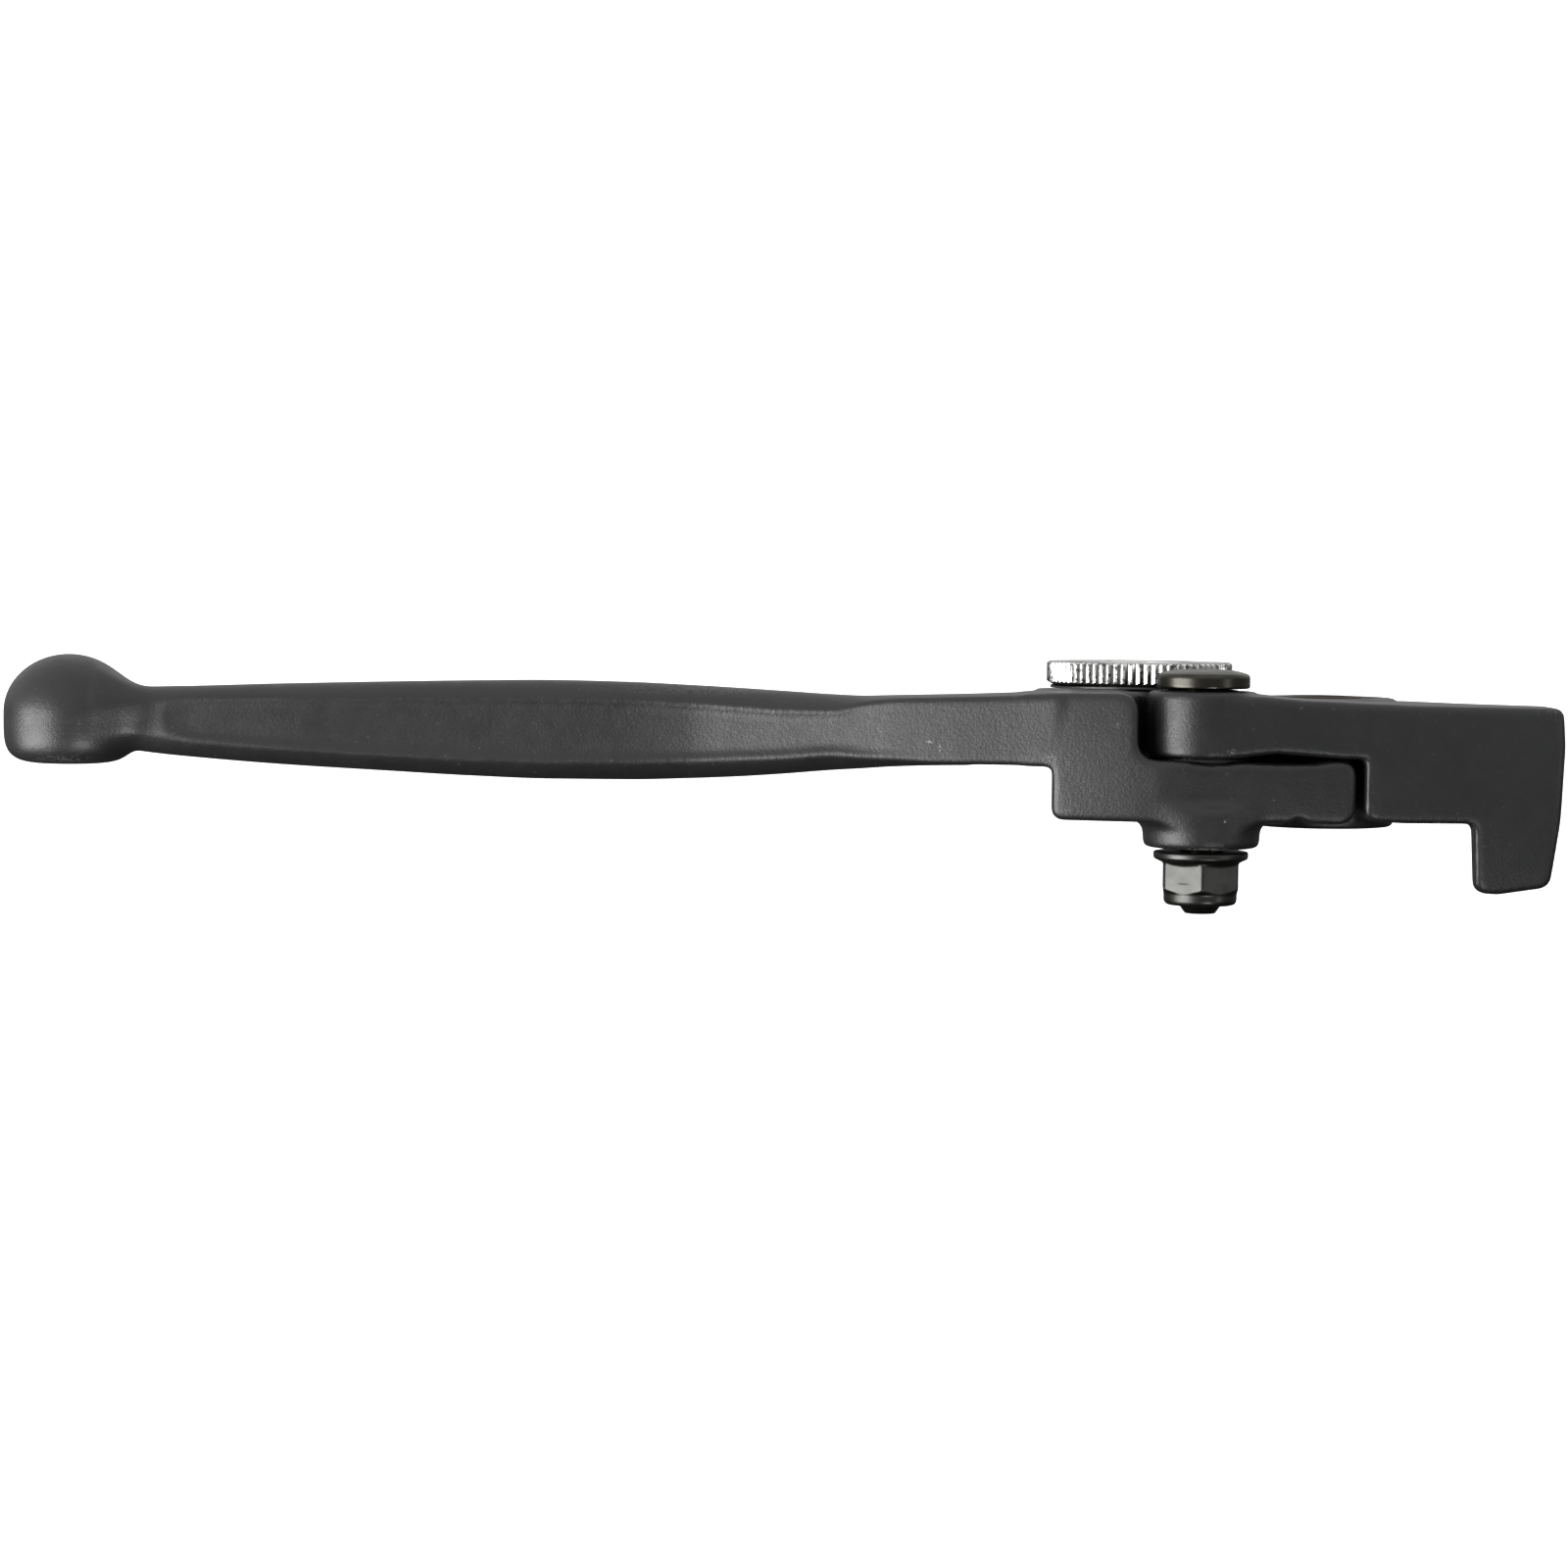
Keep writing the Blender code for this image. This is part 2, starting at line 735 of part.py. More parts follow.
to_object(
    "hinge_sleeve",
    turned(
        [(SLEEVE_BORE_R, SLEEVE_Z[0]), (SLEEVE_R, SLEEVE_Z[0]), (SLEEVE_R, SLEEVE_Z[1]), (SLEEVE_BORE_R, SLEEVE_Z[1])],
        *HINGE,
        36,
    ),
    hinge_axis,
    sleeve_steel,
)
to_object(
    "hinge_thrust_washer",
    turned([(5.0, 0.78), (6.15, 0.78), (6.15, 1.38), (5.0, 1.38)], *HINGE, 32),
    hinge_axis,
    washer_steel,
)
hex_r = NUT_AF / 2 / math.cos(math.pi / 6)
nut = to_object(
    "hinge_nut",
    turned(
        [
            (3.2, -11.05),
            (FLANGE_R - 0.15, -11.05),
            (FLANGE_R, -11.25),
            (FLANGE_R - 0.1, -12.0),
            (5.1, -12.45),
            (3.2, -12.45),
        ],
        *HINGE,
        40,
    ),
    hinge_axis,
    nut_steel,
)
add(
    nut,
    "add_hex",
    extruded(circle(*HINGE, hex_r, 6, math.radians(-96.4)), -16.5, -12.3),
    hinge_axis,
)
add(
    nut,
    "add_nut_collar",
    turned(
        [(0, -16.4), (4.75, -16.4), (4.75, -17.5), (4.45, -18.0), (4.1, -18.1), (0, -18.1)],
        *HINGE,
        40,
    ),
    hinge_axis,
)
cut(nut, "cut_nut_bore", extruded(circle(*HINGE, 3.2, 40), -19.0, -10.0), hinge_axis)
cut(nut, "cut_insert_seat", extruded(circle(*HINGE, 4.1, 40), -19.0, -16.5), hinge_axis)
to_object(
    "nut_insert",
    turned([(3.2, -17.85), (3.85, -17.85), (3.85, -16.75), (3.2, -16.75)], *HINGE, 32),
    hinge_axis,
    nylon,
)

# ---------------------------------------------------------------- reach adjuster
teeth = []
for k in range(DIAL_TEETH):
    for part, r in ((0.0, DIAL_R), (0.5, DIAL_R - 0.42)):
        a = math.tau * (k + part) / DIAL_TEETH
        teeth.append((DIAL[0] + r * math.cos(a), DIAL[1] + r * math.sin(a)))
dial = to_object("adjuster_dial", extruded(teeth, *DIAL_Z), dial_axis, chrome)
keep(
    dial,
    "dial_chamfers",
    turned(
        [
            (0, DIAL_Z[0] - 0.01),
            (DIAL_R - 0.75, DIAL_Z[0] - 0.01),
            (DIAL_R + 0.05, DIAL_Z[0] + 0.75),
            (DIAL_R + 0.05, DIAL_Z[1] - 0.3),
            (DIAL_R - 0.35, DIAL_Z[1] + 0.01),
            (0, DIAL_Z[1] + 0.01),
        ],
        *DIAL,
        64,
    ),
    dial_axis,
)
cut(dial, "cut_dial_square", extruded(square(*DIAL, SHAFT_SQ + 0.6), 8.0, 15.0), dial_axis)
cut(dial, "cut_dial_screw_seat", extruded(circle(*DIAL, 3.9, 32), 12.3, 15.0), dial_axis)
to_object(
    "dial_wave_washer",
    turned([(5.0, 9.88), (12.2, 9.88), (12.2, 10.18), (5.0, 10.18)], *DIAL, 36),
    hinge_axis,
    wave_steel,
)
to_object(
    "dial_friction_washer",
    turned([(5.0, 9.2), (10.0, 9.2), (10.0, 9.62), (5.0, 9.62)], *DIAL, 36),
    hinge_axis,
    friction_nylon,
)
shaft = to_object(
    "adjuster_shaft",
    extruded(square(*DIAL, SHAFT_SQ), -5.2, 12.1),
    dial_axis,
    shaft_steel,
)
add(
    shaft,
    "add_shaft_journal_low",
    turned([(0, -6.75), (4.4, -6.75), (4.4, -5.62), (SHAFT_R, -5.62), (SHAFT_R, -2.75), (0, -2.75)], *DIAL, 32),
    dial_axis,
)
add(shaft, "add_shaft_journal_high", extruded(circle(*DIAL, SHAFT_R, 32), 3.75, 10.0), dial_axis)
cut(shaft, "cut_shaft_thread", extruded(circle(*DIAL, 1.35, 20), 6.5, 13.0), dial_axis)
cam = to_object("adjuster_cam", extruded(cam_outline(), *CAM_Z), dial_axis, cam_steel)
cut(cam, "cut_cam_square", extruded(square(*DIAL, SHAFT_SQ + 0.6), -4.0, 5.0), dial_axis)
screw = to_object(
    "dial_screw",
    turned(
        [(0, 13.45), (2.9, 13.45), (3.45, 13.1), (3.45, 12.6), (1.1, 12.6), (1.1, 7.0), (0, 7.0)],
        *DIAL,
        32,
    ),
    dial_axis,
    screw_steel,
)
cut(screw, "cut_screw_hex", extruded(circle(*DIAL, 1.25, 6), 12.85, 14.0), dial_axis)
to_object(
    "anvil_pin",
    turned([(0, -2.2), (PIN_R, -2.2), (PIN_R, 3.2), (0, 3.2)], *PIN, 24),
    pivot_axis,
    pin_steel,
)

# ---------------------------------------------------------------- return spring
steps = int(SPRING_COILS * 12)
points = []
for k in range(steps + 1):
    t = k / steps
    a = math.tau * SPRING_COILS * t
    lead = SPRING_Y[0] + SPRING_WIRE_R + (SPRING_Y[1] - SPRING_Y[0] - 2 * SPRING_WIRE_R) * t
    points.append(
        Vector(
            (
                SPRING_AXIS[0] + SPRING_MEAN_R * math.cos(a),
                lead,
                SPRING_AXIS[1] + SPRING_MEAN_R * math.sin(a),
            )
        )
    )
rings = []
for k, p in enumerate(points):
    t = (points[min(k + 1, steps)] - points[max(k - 1, 0)]).normalized()
    out = Vector((p.x - SPRING_AXIS[0], 0.0, p.z - SPRING_AXIS[1])).normalized()
    up = t.cross(out).normalized()
    rings.append(
        [
            tuple(p + (out * math.cos(b) + up * math.sin(b)) * SPRING_WIRE_R)
            for b in (math.tau * j / 5 for j in range(5))
        ]
    )
to_object("return_spring", lofted(rings), hinge_axis, spring_steel)
to_object(
    "spring_cap",
    turned(
        [(0, -7.55), (2.85, -7.55), (2.85, -9.6), (2.5, -9.6), (2.5, -8.15), (0, -8.15)],
        *SPRING_AXIS,
        24,
        "Y",
    ),
    pivot_axis,
    cap_steel,
)

# ---------------------------------------------------------------- push rod barrel
barrel = to_object(
    "push_rod_barrel",
    turned(
        [(0, -5.5), (4.6, -5.5), (5.0, -5.1), (5.0, 5.5), (4.6, 5.9), (0, 5.9)],
        *BARREL,
        40,
    ),
    barrel_axis,
    brass,
)
cut(
    barrel,
    "cut_rod_socket",
    extruded(circle(BARREL[1], 0.0, 3.0, 24), BARREL[0] - 1.0, 10.0, "X"),
    barrel_axis,
)
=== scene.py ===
"""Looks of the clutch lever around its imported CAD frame. Lengths in the helpers are millimetres; meshes are made in metres."""
import math

import bmesh
import bpy
import numpy as np
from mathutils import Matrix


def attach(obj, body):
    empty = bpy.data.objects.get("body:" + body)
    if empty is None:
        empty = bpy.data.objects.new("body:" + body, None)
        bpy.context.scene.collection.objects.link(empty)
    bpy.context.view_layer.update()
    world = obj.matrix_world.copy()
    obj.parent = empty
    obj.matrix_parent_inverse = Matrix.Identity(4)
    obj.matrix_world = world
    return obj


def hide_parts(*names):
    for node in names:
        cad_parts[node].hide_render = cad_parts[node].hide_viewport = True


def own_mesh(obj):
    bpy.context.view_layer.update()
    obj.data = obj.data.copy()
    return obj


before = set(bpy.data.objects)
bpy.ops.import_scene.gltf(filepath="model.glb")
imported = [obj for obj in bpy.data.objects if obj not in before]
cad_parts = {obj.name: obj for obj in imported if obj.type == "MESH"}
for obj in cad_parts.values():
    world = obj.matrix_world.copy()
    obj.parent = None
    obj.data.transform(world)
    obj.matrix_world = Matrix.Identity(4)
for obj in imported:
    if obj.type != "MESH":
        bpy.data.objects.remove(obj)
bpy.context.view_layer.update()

import openvdb
from mathutils import Matrix, Vector

MM = 0.001
scene = bpy.context.scene
TAU = math.tau

# ------------------------------------------------------------------ design (as the CAD frame)
PIVOT, HINGE, DIAL, BARREL = (0.0, 0.0), (-17.9, -17.0), (-24.75, 2.0), (2.5, 21.5)
BALL = (-171.65, 2.0, 5.05)
BALL_R, BALL_TOP, BALL_BOTTOM = 8.95, 7.95, 7.1
STATIONS = [
    (-166.0, 8.30, 0.50, 6.60, 2.50, -2.5, 5.2),
    (-160.1, 8.69, -0.42, 6.96, 2.23, -2.95, 5.6),
    (-153.5, 8.89, -1.02, 7.13, 1.66, -3.4, 6.0),
    (-142.8, 9.29, -1.80, 7.24, 0.90, -3.4, 6.6),
    (-126.9, 9.74, -2.65, 7.38, 0.04, -2.85, 7.0),
    (-116.2, 9.99, -3.17, 7.46, -0.39, -2.75, 7.2),
    (-105.5, 10.16, -3.47, 7.53, -0.62, -3.0, 7.3),
    (-94.8, 10.02, -3.44, 7.42, -0.53, -3.6, 7.2),
    (-86.8, 9.73, -3.16, 7.11, -0.32, -4.6, 6.6),
    (-80.1, 9.44, -2.78, 6.77, 0.01, -6.3, 5.6),
    (-73.5, 9.12, -2.22, 6.42, 0.40, -8.3, 3.8),
    (-66.9, 8.80, -1.54, 6.52, 0.95, -10.4, 1.6),
    (-63.0, 8.69, -1.22, 7.54, 0.61, -11.7, 0.4),
    (-59.1, 8.83, -0.87, 8.27, 0.37, -13.0, -0.6),
    (-52.6, 9.05, -0.52, 8.70, -0.10, -15.05, -1.2),
    (-47.4, 9.22, -0.38, 8.95, -0.05, -16.7, 0.4),
    (-42.3, 9.41, -0.30, 9.20, -0.04, -18.4, 3.0),
    (-37.0, 9.60, -0.28, 9.40, 0.00, -20.3, 5.5),
]

# ------------------------------------------------------------------ camera, as the catalogue view
CAM_AT = Vector((-73.385, -557.0, 25.397)) * MM
cam_data = bpy.data.cameras.new("camera")
cam_data.sensor_width = 36.0
cam_data.lens = 4154.0 / 1600.0 * 36.0
cam_data.clip_start = 0.01
cam = bpy.data.objects.new("camera", cam_data)
scene.collection.objects.link(cam)
cam.matrix_world = (
    Matrix.Translation(CAM_AT)
    @ Matrix.Rotation(math.radians(87.0), 4, "X")
    @ Matrix.Rotation(math.radians(0.6), 4, "Z")
)
scene.camera = cam


# ------------------------------------------------------------------ signed distance modelling
class Field:
    """A block of signed distances, negative inside, on a grid of step h (mm)."""

    def __init__(self, lo, hi, h):
        self.lo, self.h = np.array(lo, float), h
        n = [int(math.ceil((b - a) / h)) + 1 for a, b in zip(lo, hi)]
        self.axes = [
            (a + h * np.arange(m)).astype(np.float32) for a, m in zip(lo, n)
        ]
        self.d = np.full(n, 9.0, np.float32)

    def window(self, lo=None, hi=None):
        out = []
        for k in range(3):
            a = 0 if lo is None or lo[k] is None else int(max(0, math.floor((lo[k] - self.lo[k]) / self.h)))
            n = len(self.axes[k])
            b = n if hi is None or hi[k] is None else int(min(n, math.ceil((hi[k] - self.lo[k]) / self.h) + 1))
            out.append(slice(a, b))
        return tuple(out)

    def coords(self, w):
        x = self.axes[0][w[0]][:, None, None]
        y = self.axes[1][w[1]][None, :, None]
        z = self.axes[2][w[2]][None, None, :]
        return x, y, z

    def union(self, shape, k=0.0, lo=None, hi=None):
        w = self.window(lo, hi)
        self.d[w] = smin(self.d[w], shape(*self.coords(w)), k)

    def minus(self, shape, k=0.0, lo=None, hi=None):
        w = self.window(lo, hi)
        self.d[w] = smax(self.d[w], -shape(*self.coords(w)), k)

    def soften(self, times=2):
        """Round every edge a little, as a forging under a coat of powder is."""
        for _ in range(times):
            for axis in range(3):
                a = np.moveaxis(self.d, axis, 0)
                a[1:-1] = 0.25 * a[:-2] + 0.5 * a[1:-1] + 0.25 * a[2:]

    def mesh(self, name):
        g = openvdb.FloatGrid(3.0 * self.h)
        g.copyFromArray(np.clip(self.d / self.h, -3, 3).astype(np.float32))
        pts, quads = g.convertToQuads(0.0)
        pts = (pts * self.h + self.lo) * MM
        return make_mesh(name, pts, quads)


def smin(a, b, k):
    if np.isscalar(k) and k <= 0:
        return np.minimum(a, b)
    h = np.maximum(k - np.abs(a - b), 0.0) / k
    return np.minimum(a, b) - h * h * (k / 4)


def smax(a, b, k):
    return -smin(-a, -b, k)


def polygon(px, py, pts):
    """Signed distance to a closed outline, on two broadcast coordinate arrays."""
    px, py = np.broadcast_arrays(px, py)
    best = np.full(px.shape, 1e9, np.float32)
    inside = np.zeros(px.shape, bool)
    n = len(pts)
    for i in range(n):
        ax, ay = pts[i]
        bx, by = pts[i - 1]
        ex, ey = bx - ax, by - ay
        wx, wy = px - np.float32(ax), py - np.float32(ay)
        t = np.clip((wx * ex + wy * ey) / max(ex * ex + ey * ey, 1e-12), 0, 1)
        dx, dy = wx - ex * t, wy - ey * t
        np.minimum(best, dx * dx + dy * dy, out=best)
        cross = ex * wy > ey * wx
        a, b = py >= ay, py < by
        flip = (a & b & cross) | (~a & ~b & ~cross)
        inside ^= flip
    return np.where(inside, -np.sqrt(best), np.sqrt(best)).astype(np.float32)


def prism(pts, lo, hi, k=0.0, along="Z"):
    """A prism of an outline with its two end edges rounded by k."""
    mid, half = (lo + hi) / 2, (hi - lo) / 2

    def shape(x, y, z):
        if along == "Z":
            return smax(polygon(x, y, pts), np.abs(z - mid) - half, k)
        if along == "Y":
            return smax(polygon(x, z, pts), np.abs(y - mid) - half, k)
        return smax(polygon(y, z, pts), np.abs(x - mid) - half, k)

    return shape


def drafted(flat, y, z, h, z0, amount, y_from, y_over):
    """A plan distance whose front is drawn back above and below the parting line at z0, as forgings are."""
    ys, zs = y[0, :, 0], z[0, 0, :]
    ease = np.clip((y_from - ys) / y_over, 0, 1)
    out = np.empty((flat.shape[0], len(ys), len(zs)), np.float32)
    for k, at in enumerate(zs):
        j = np.clip(np.arange(len(ys)) - amount * (at - z0) ** 2 / h * ease, 0, len(ys) - 1.001)
        i = j.astype(int)
        f = (j - i).astype(np.float32)
        out[:, :, k] = flat[:, i, 0] * (1 - f) + flat[:, i + 1, 0] * f
    return out


def cylinder(cx, cy, r, lo, hi, k=0.0, along="Z"):
    mid, half = (lo + hi) / 2, (hi - lo) / 2

    def shape(x, y, z):
        a, b, c = {"Z": (x, y, z), "Y": (x, z, y), "X": (y, z, x)}[along]
        return smax(np.sqrt((a - cx) ** 2 + (b - cy) ** 2) - r, np.abs(c - mid) - half, k)

    return shape


def rounded(points, seg=10):
    out = []
    n = len(points)
    for i, p in enumerate(points):
        r = p[2] if len(p) > 2 else 0.0
        c = Vector((p[0], p[1]))
        if r <= 0:
            out.append((c.x, c.y))
            continue
        a = (Vector(points[i - 1][:2]) - c).normalized()
        b = (Vector(points[(i + 1) % n][:2]) - c).normalized()
        half = math.acos(max(-1.0, min(1.0, a.dot(b)))) / 2
        cutback = r / math.tan(half)
        centre = c + (a + b).normalized() * (r / math.sin(half))
        s, e = c + a * cutback - centre, c + b * cutback - centre
        turn = math.atan2(s.x * e.y - s.y * e.x, s.dot(e))
        for k in range(seg + 1):
            t = turn * k / seg
            out.append(
                (
                    centre.x + s.x * math.cos(t) - s.y * math.sin(t),
                    centre.y + s.x * math.sin(t) + s.y * math.cos(t),
                )
            )
    return out


def smooth_value(x, xs, ys):
    if x <= xs[0]:
        return ys[0]
    if x >= xs[-1]:
        return ys[-1]
    i = max(k for k in range(len(xs) - 1) if xs[k] <= x)
    slopes = [(ys[k + 1] - ys[k]) / (xs[k + 1] - xs[k]) for k in range(len(xs) - 1)]

    def tangent(k):
        if k == 0:
            return slopes[0]
        if k == len(xs) - 1:
            return slopes[-1]
        a, b = slopes[k - 1], slopes[k]
        return 0.0 if a * b <= 0 else 2 * a * b / (a + b)

    h = xs[i + 1] - xs[i]
    t = (x - xs[i]) / h
    a, b = tangent(i) * h, tangent(i + 1) * h
    return (
        (2 * t**3 - 3 * t**2 + 1) * ys[i]
        + (t**3 - 2 * t**2 + t) * a
        + (-2 * t**3 + 3 * t**2) * ys[i + 1]
        + (t**3 - t**2) * b
    )


# ------------------------------------------------------------------ mesh helpers
def make_mesh(name, pts, quads, smooth_angle=None):
    me = bpy.data.meshes.new(name)
    pts = np.ascontiguousarray(pts, np.float32)
    quads = np.ascontiguousarray(quads, np.int32)
    me.vertices.add(len(pts))
    me.vertices.foreach_set("co", pts.ravel())
    me.loops.add(quads.size)
    me.loops.foreach_set("vertex_index", quads.ravel())
    me.polygons.add(len(quads))
    me.polygons.foreach_set("loop_start", np.arange(0, quads.size, 4, dtype=np.int32))
    me.update(calc_edges=True)
    me.validate()
    bm = bmesh.new()
    bm.from_mesh(me)
    if bm.calc_volume(signed=True) < 0:
        bmesh.ops.reverse_faces(bm, faces=bm.faces)
        bm.to_mesh(me)
    bm.free()
    me.shade_smooth()
    if smooth_angle:
        me.set_sharp_from_angle(angle=math.radians(smooth_angle))
    o = bpy.data.objects.new(name, me)
    scene.collection.objects.link(o)
    return o


def from_bmesh(name, bm, angle=35.0):
    bmesh.ops.recalc_face_normals(bm, faces=bm.faces)
    if bm.calc_volume(signed=True) < 0:
        bmesh.ops.reverse_faces(bm, faces=bm.faces)
    me = bpy.data.meshes.new(name)
    for v in bm.verts:
        v.co *= MM
    bm.to_mesh(me)
    bm.free()
    me.shade_smooth()
    me.set_sharp_from_angle(angle=math.radians(angle))
    o = bpy.data.objects.new(name, me)
    scene.collection.objects.link(o)
    return o


PLACE = {
    "Z": lambda a, b, c: (a, b, c),
    "Y": lambda a, b, c: (a, c, b),
    "X": lambda a, b, c: (c, a, b),
}


def turned(profile, cx, cy, n=128, along="Z"):
    """A body turned about an axis: a closed loop of (radius, height[, corner radius])."""
    profile = [(max(r, 0.0), h) for r, h in rounded(profile, 4)]
    place = PLACE[along]
    bm = bmesh.new()
    rings = []
    for r, h in profile:
        if r < 1e-6:
            rings.append([bm.verts.new(place(cx, cy, h))])
        else:
            rings.append(
                [
                    bm.verts.new(place(cx + r * math.cos(TAU * k / n), cy + r * math.sin(TAU * k / n), h))
                    for k in range(n)
                ]
            )
    m = len(rings)
    for i in range(m):
        a, b = rings[i], rings[(i + 1) % m]
        if len(a) == 1 and len(b) == 1:
            continue
        for k in range(n):
            j = (k + 1) % n
            if len(a) == 1:
                bm.faces.new((a[0], b[j], b[k]))
            elif len(b) == 1:
                bm.faces.new((a[k], a[j], b[0]))
            else:
                bm.faces.new((a[k], a[j], b[j], b[k]))
    return bm


def extruded(points, lo, hi, along="Z"):
    place = PLACE[along]
    bm = bmesh.new()
    low = [bm.verts.new(place(x, y, lo)) for x, y in points]
    high = [bm.verts.new(place(x, y, hi)) for x, y in points]
    bm.faces.new(low)
    bm.faces.new(list(reversed(high)))
    n = len(points)
    for i in range(n):
        j = (i + 1) % n
        bm.faces.new((low[j], low[i], high[i], high[j]))
    return bm


def apply_modifiers(o):
    bpy.context.view_layer.update()
    dg = bpy.context.evaluated_depsgraph_get()
    me = bpy.data.meshes.new_from_object(o.evaluated_get(dg))
    o.modifiers.clear()
    o.data = me
    return o


def cut_away(o, cutter, angle=35.0):
    m = o.modifiers.new("cut", "BOOLEAN")
    m.object = cutter
    m.operation = "DIFFERENCE"
    m.solver = "EXACT"
    apply_modifiers(o)
    bpy.data.objects.remove(cutter, do_unlink=True)
    o.data.shade_smooth()
    o.data.set_sharp_from_angle(angle=math.radians(angle))
    return o


def circle(cx, cy, r, n, start=0.0):
    return [(cx + r * math.cos(start + TAU * k / n), cy + r * math.sin(start + TAU * k / n)) for k in range(n)]


# ------------------------------------------------------------------ materials
def new_material(name):
    m = bpy.data.materials.new(name)
    m.use_nodes = True
    return m, m.node_tree.nodes, m.node_tree.links, m.node_tree.nodes["Principled BSDF"]


def math_node(nodes, links, op, a, b=None, clamp=False):
    n = nodes.new("ShaderNodeMath")
    n.operation = op
    n.use_clamp = clamp
    for i, v in enumerate((a, b)):
        if v is None:
            continue
        if isinstance(v, (int, float)):
            n.inputs[i].default_value = v
        else:
            links.new(v, n.inputs[i])
    return n.outputs[0]


def noise(nodes, links, coord, scale, detail=2.0, rough=0.5, dims="3D"):
    n = nodes.new("ShaderNodeTexNoise")
    n.noise_dimensions = dims
    n.inputs["Scale"].default_value = scale
    n.inputs["Detail"].default_value = detail
    n.inputs["Roughness"].default_value = rough
    if dims == "1D":
        links.new(coord, n.inputs["W"])
    else:
        links.new(coord, n.inputs["Vector"])
    return n.outputs["Fac"]


def ramp(nodes, links, fac, lo, hi, a=0.0, b=1.0):
    n = nodes.new("ShaderNodeMapRange")
    n.clamp = True
    links.new(fac, n.inputs["Value"])
    n.inputs["From Min"].default_value = lo
    n.inputs["From Max"].default_value = hi
    n.inputs["To Min"].default_value = a
    n.inputs["To Max"].default_value = b
    return n.outputs["Result"]


def mix_colour(nodes, links, fac, a, b):
    n = nodes.new("ShaderNodeMix")
    n.data_type = "RGBA"
    links.new(fac, n.inputs["Factor"])
    for key, v in (("A", a), ("B", b)):
        s = [i for i in n.inputs if i.name == key and i.type == "RGBA"][0]
        if isinstance(v, tuple):
            s.default_value = (*v, 1.0)
        else:
            links.new(v, s)
    return [o for o in n.outputs if o.type == "RGBA"][0]


def bump(nodes, links, height, strength, distance, after=None):
    n = nodes.new("ShaderNodeBump")
    n.inputs["Strength"].default_value = strength
    n.inputs["Distance"].default_value = distance
    links.new(height, n.inputs["Height"])
    if after is not None:
        links.new(after, n.inputs["Normal"])
    return n.outputs["Normal"]


def object_coord(nodes):
    return nodes.new("ShaderNodeTexCoord").outputs["Object"]


def spot(nodes, links, coord, at, size, grain=1800.0, edge=0.25):
    """A patch around a point (mm), stretched by size (mm), broken up by grain; used for worn patches, for a painted
    highlight and for patches of painted shade.
    """
    sub = nodes.new("ShaderNodeVectorMath")
    sub.operation = "SUBTRACT"
    links.new(coord, sub.inputs[0])
    sub.inputs[1].default_value = [v * MM for v in at]
    div = nodes.new("ShaderNodeVectorMath")
    div.operation = "DIVIDE"
    links.new(sub.outputs[0], div.inputs[0])
    div.inputs[1].default_value = [v * MM for v in size]
    ln = nodes.new("ShaderNodeVectorMath")
    ln.operation = "LENGTH"
    links.new(div.outputs[0], ln.inputs[0])
    fall = ramp(nodes, links, ln.outputs["Value"], 1.0, edge, 0.0, 1.0)
    n = noise(nodes, links, coord, grain, 1.0, 0.5)
    # the nearer the middle, the more grains pass
    sure = math_node(nodes, links, "ADD", n, math_node(nodes, links, "MULTIPLY", fall, 0.16))
    g = ramp(nodes, links, sure, 0.60, 0.70)
    return math_node(nodes, links, "MULTIPLY", fall, g)


def powder_coat(name, base, rough, marks=(), painted_shade_patches=()):
    m, nodes, links, p = new_material(name)
    c = object_coord(nodes)
    broad = noise(nodes, links, c, 55.0, 3.0, 0.55)
    fine = noise(nodes, links, c, 2600.0, 2.0, 0.55)
    mid = noise(nodes, links, c, 420.0, 3.0, 0.6)
    tone = mix_colour(
        nodes, links, ramp(nodes, links, broad, 0.3, 0.7),
        tuple(v * 0.82 for v in base), tuple(v * 1.22 for v in base),
    )
    dust = ramp(nodes, links, noise(nodes, links, c, 1150.0, 2.0, 0.5), 0.70, 0.78, 0.0, 0.30)
    tone = mix_colour(nodes, links, dust, tone, (0.10, 0.10, 0.10))
    wear = None
    # light patches: worn paint, and on the blade also a painted highlight along the lower hinge boss's rim
    for at, size, amount, grain in marks:
        s = math_node(nodes, links, "MULTIPLY", spot(nodes, links, c, at, size, grain), amount)
        wear = s if wear is None else math_node(nodes, links, "MAXIMUM", wear, s)
    if wear is not None:
        tone = mix_colour(nodes, links, wear, tone, (0.30, 0.295, 0.28))
    # painted shade: dark patches laid on the coat where shade falls
    for at, size, amount in painted_shade_patches:
        s = math_node(nodes, links, "MULTIPLY", spot(nodes, links, c, at, size, 700.0, 0.4), amount)
        tone = mix_colour(nodes, links, s, tone, (0.006, 0.006, 0.006))
    links.new(tone, p.inputs["Base Color"])
    r = ramp(nodes, links, mid, 0.3, 0.7, rough - 0.035, rough + 0.045)
    if wear is not None:
        r = math_node(nodes, links, "SUBTRACT", r, math_node(nodes, links, "MULTIPLY", wear, 0.12))
    links.new(r, p.inputs["Roughness"])
    n1 = bump(nodes, links, fine, 0.8, 0.00005)
    n2 = bump(nodes, links, mid, 0.4, 0.00007, n1)
    links.new(n2, p.inputs["Normal"])
    p.inputs["Specular IOR Level"].default_value = 0.5
    return m


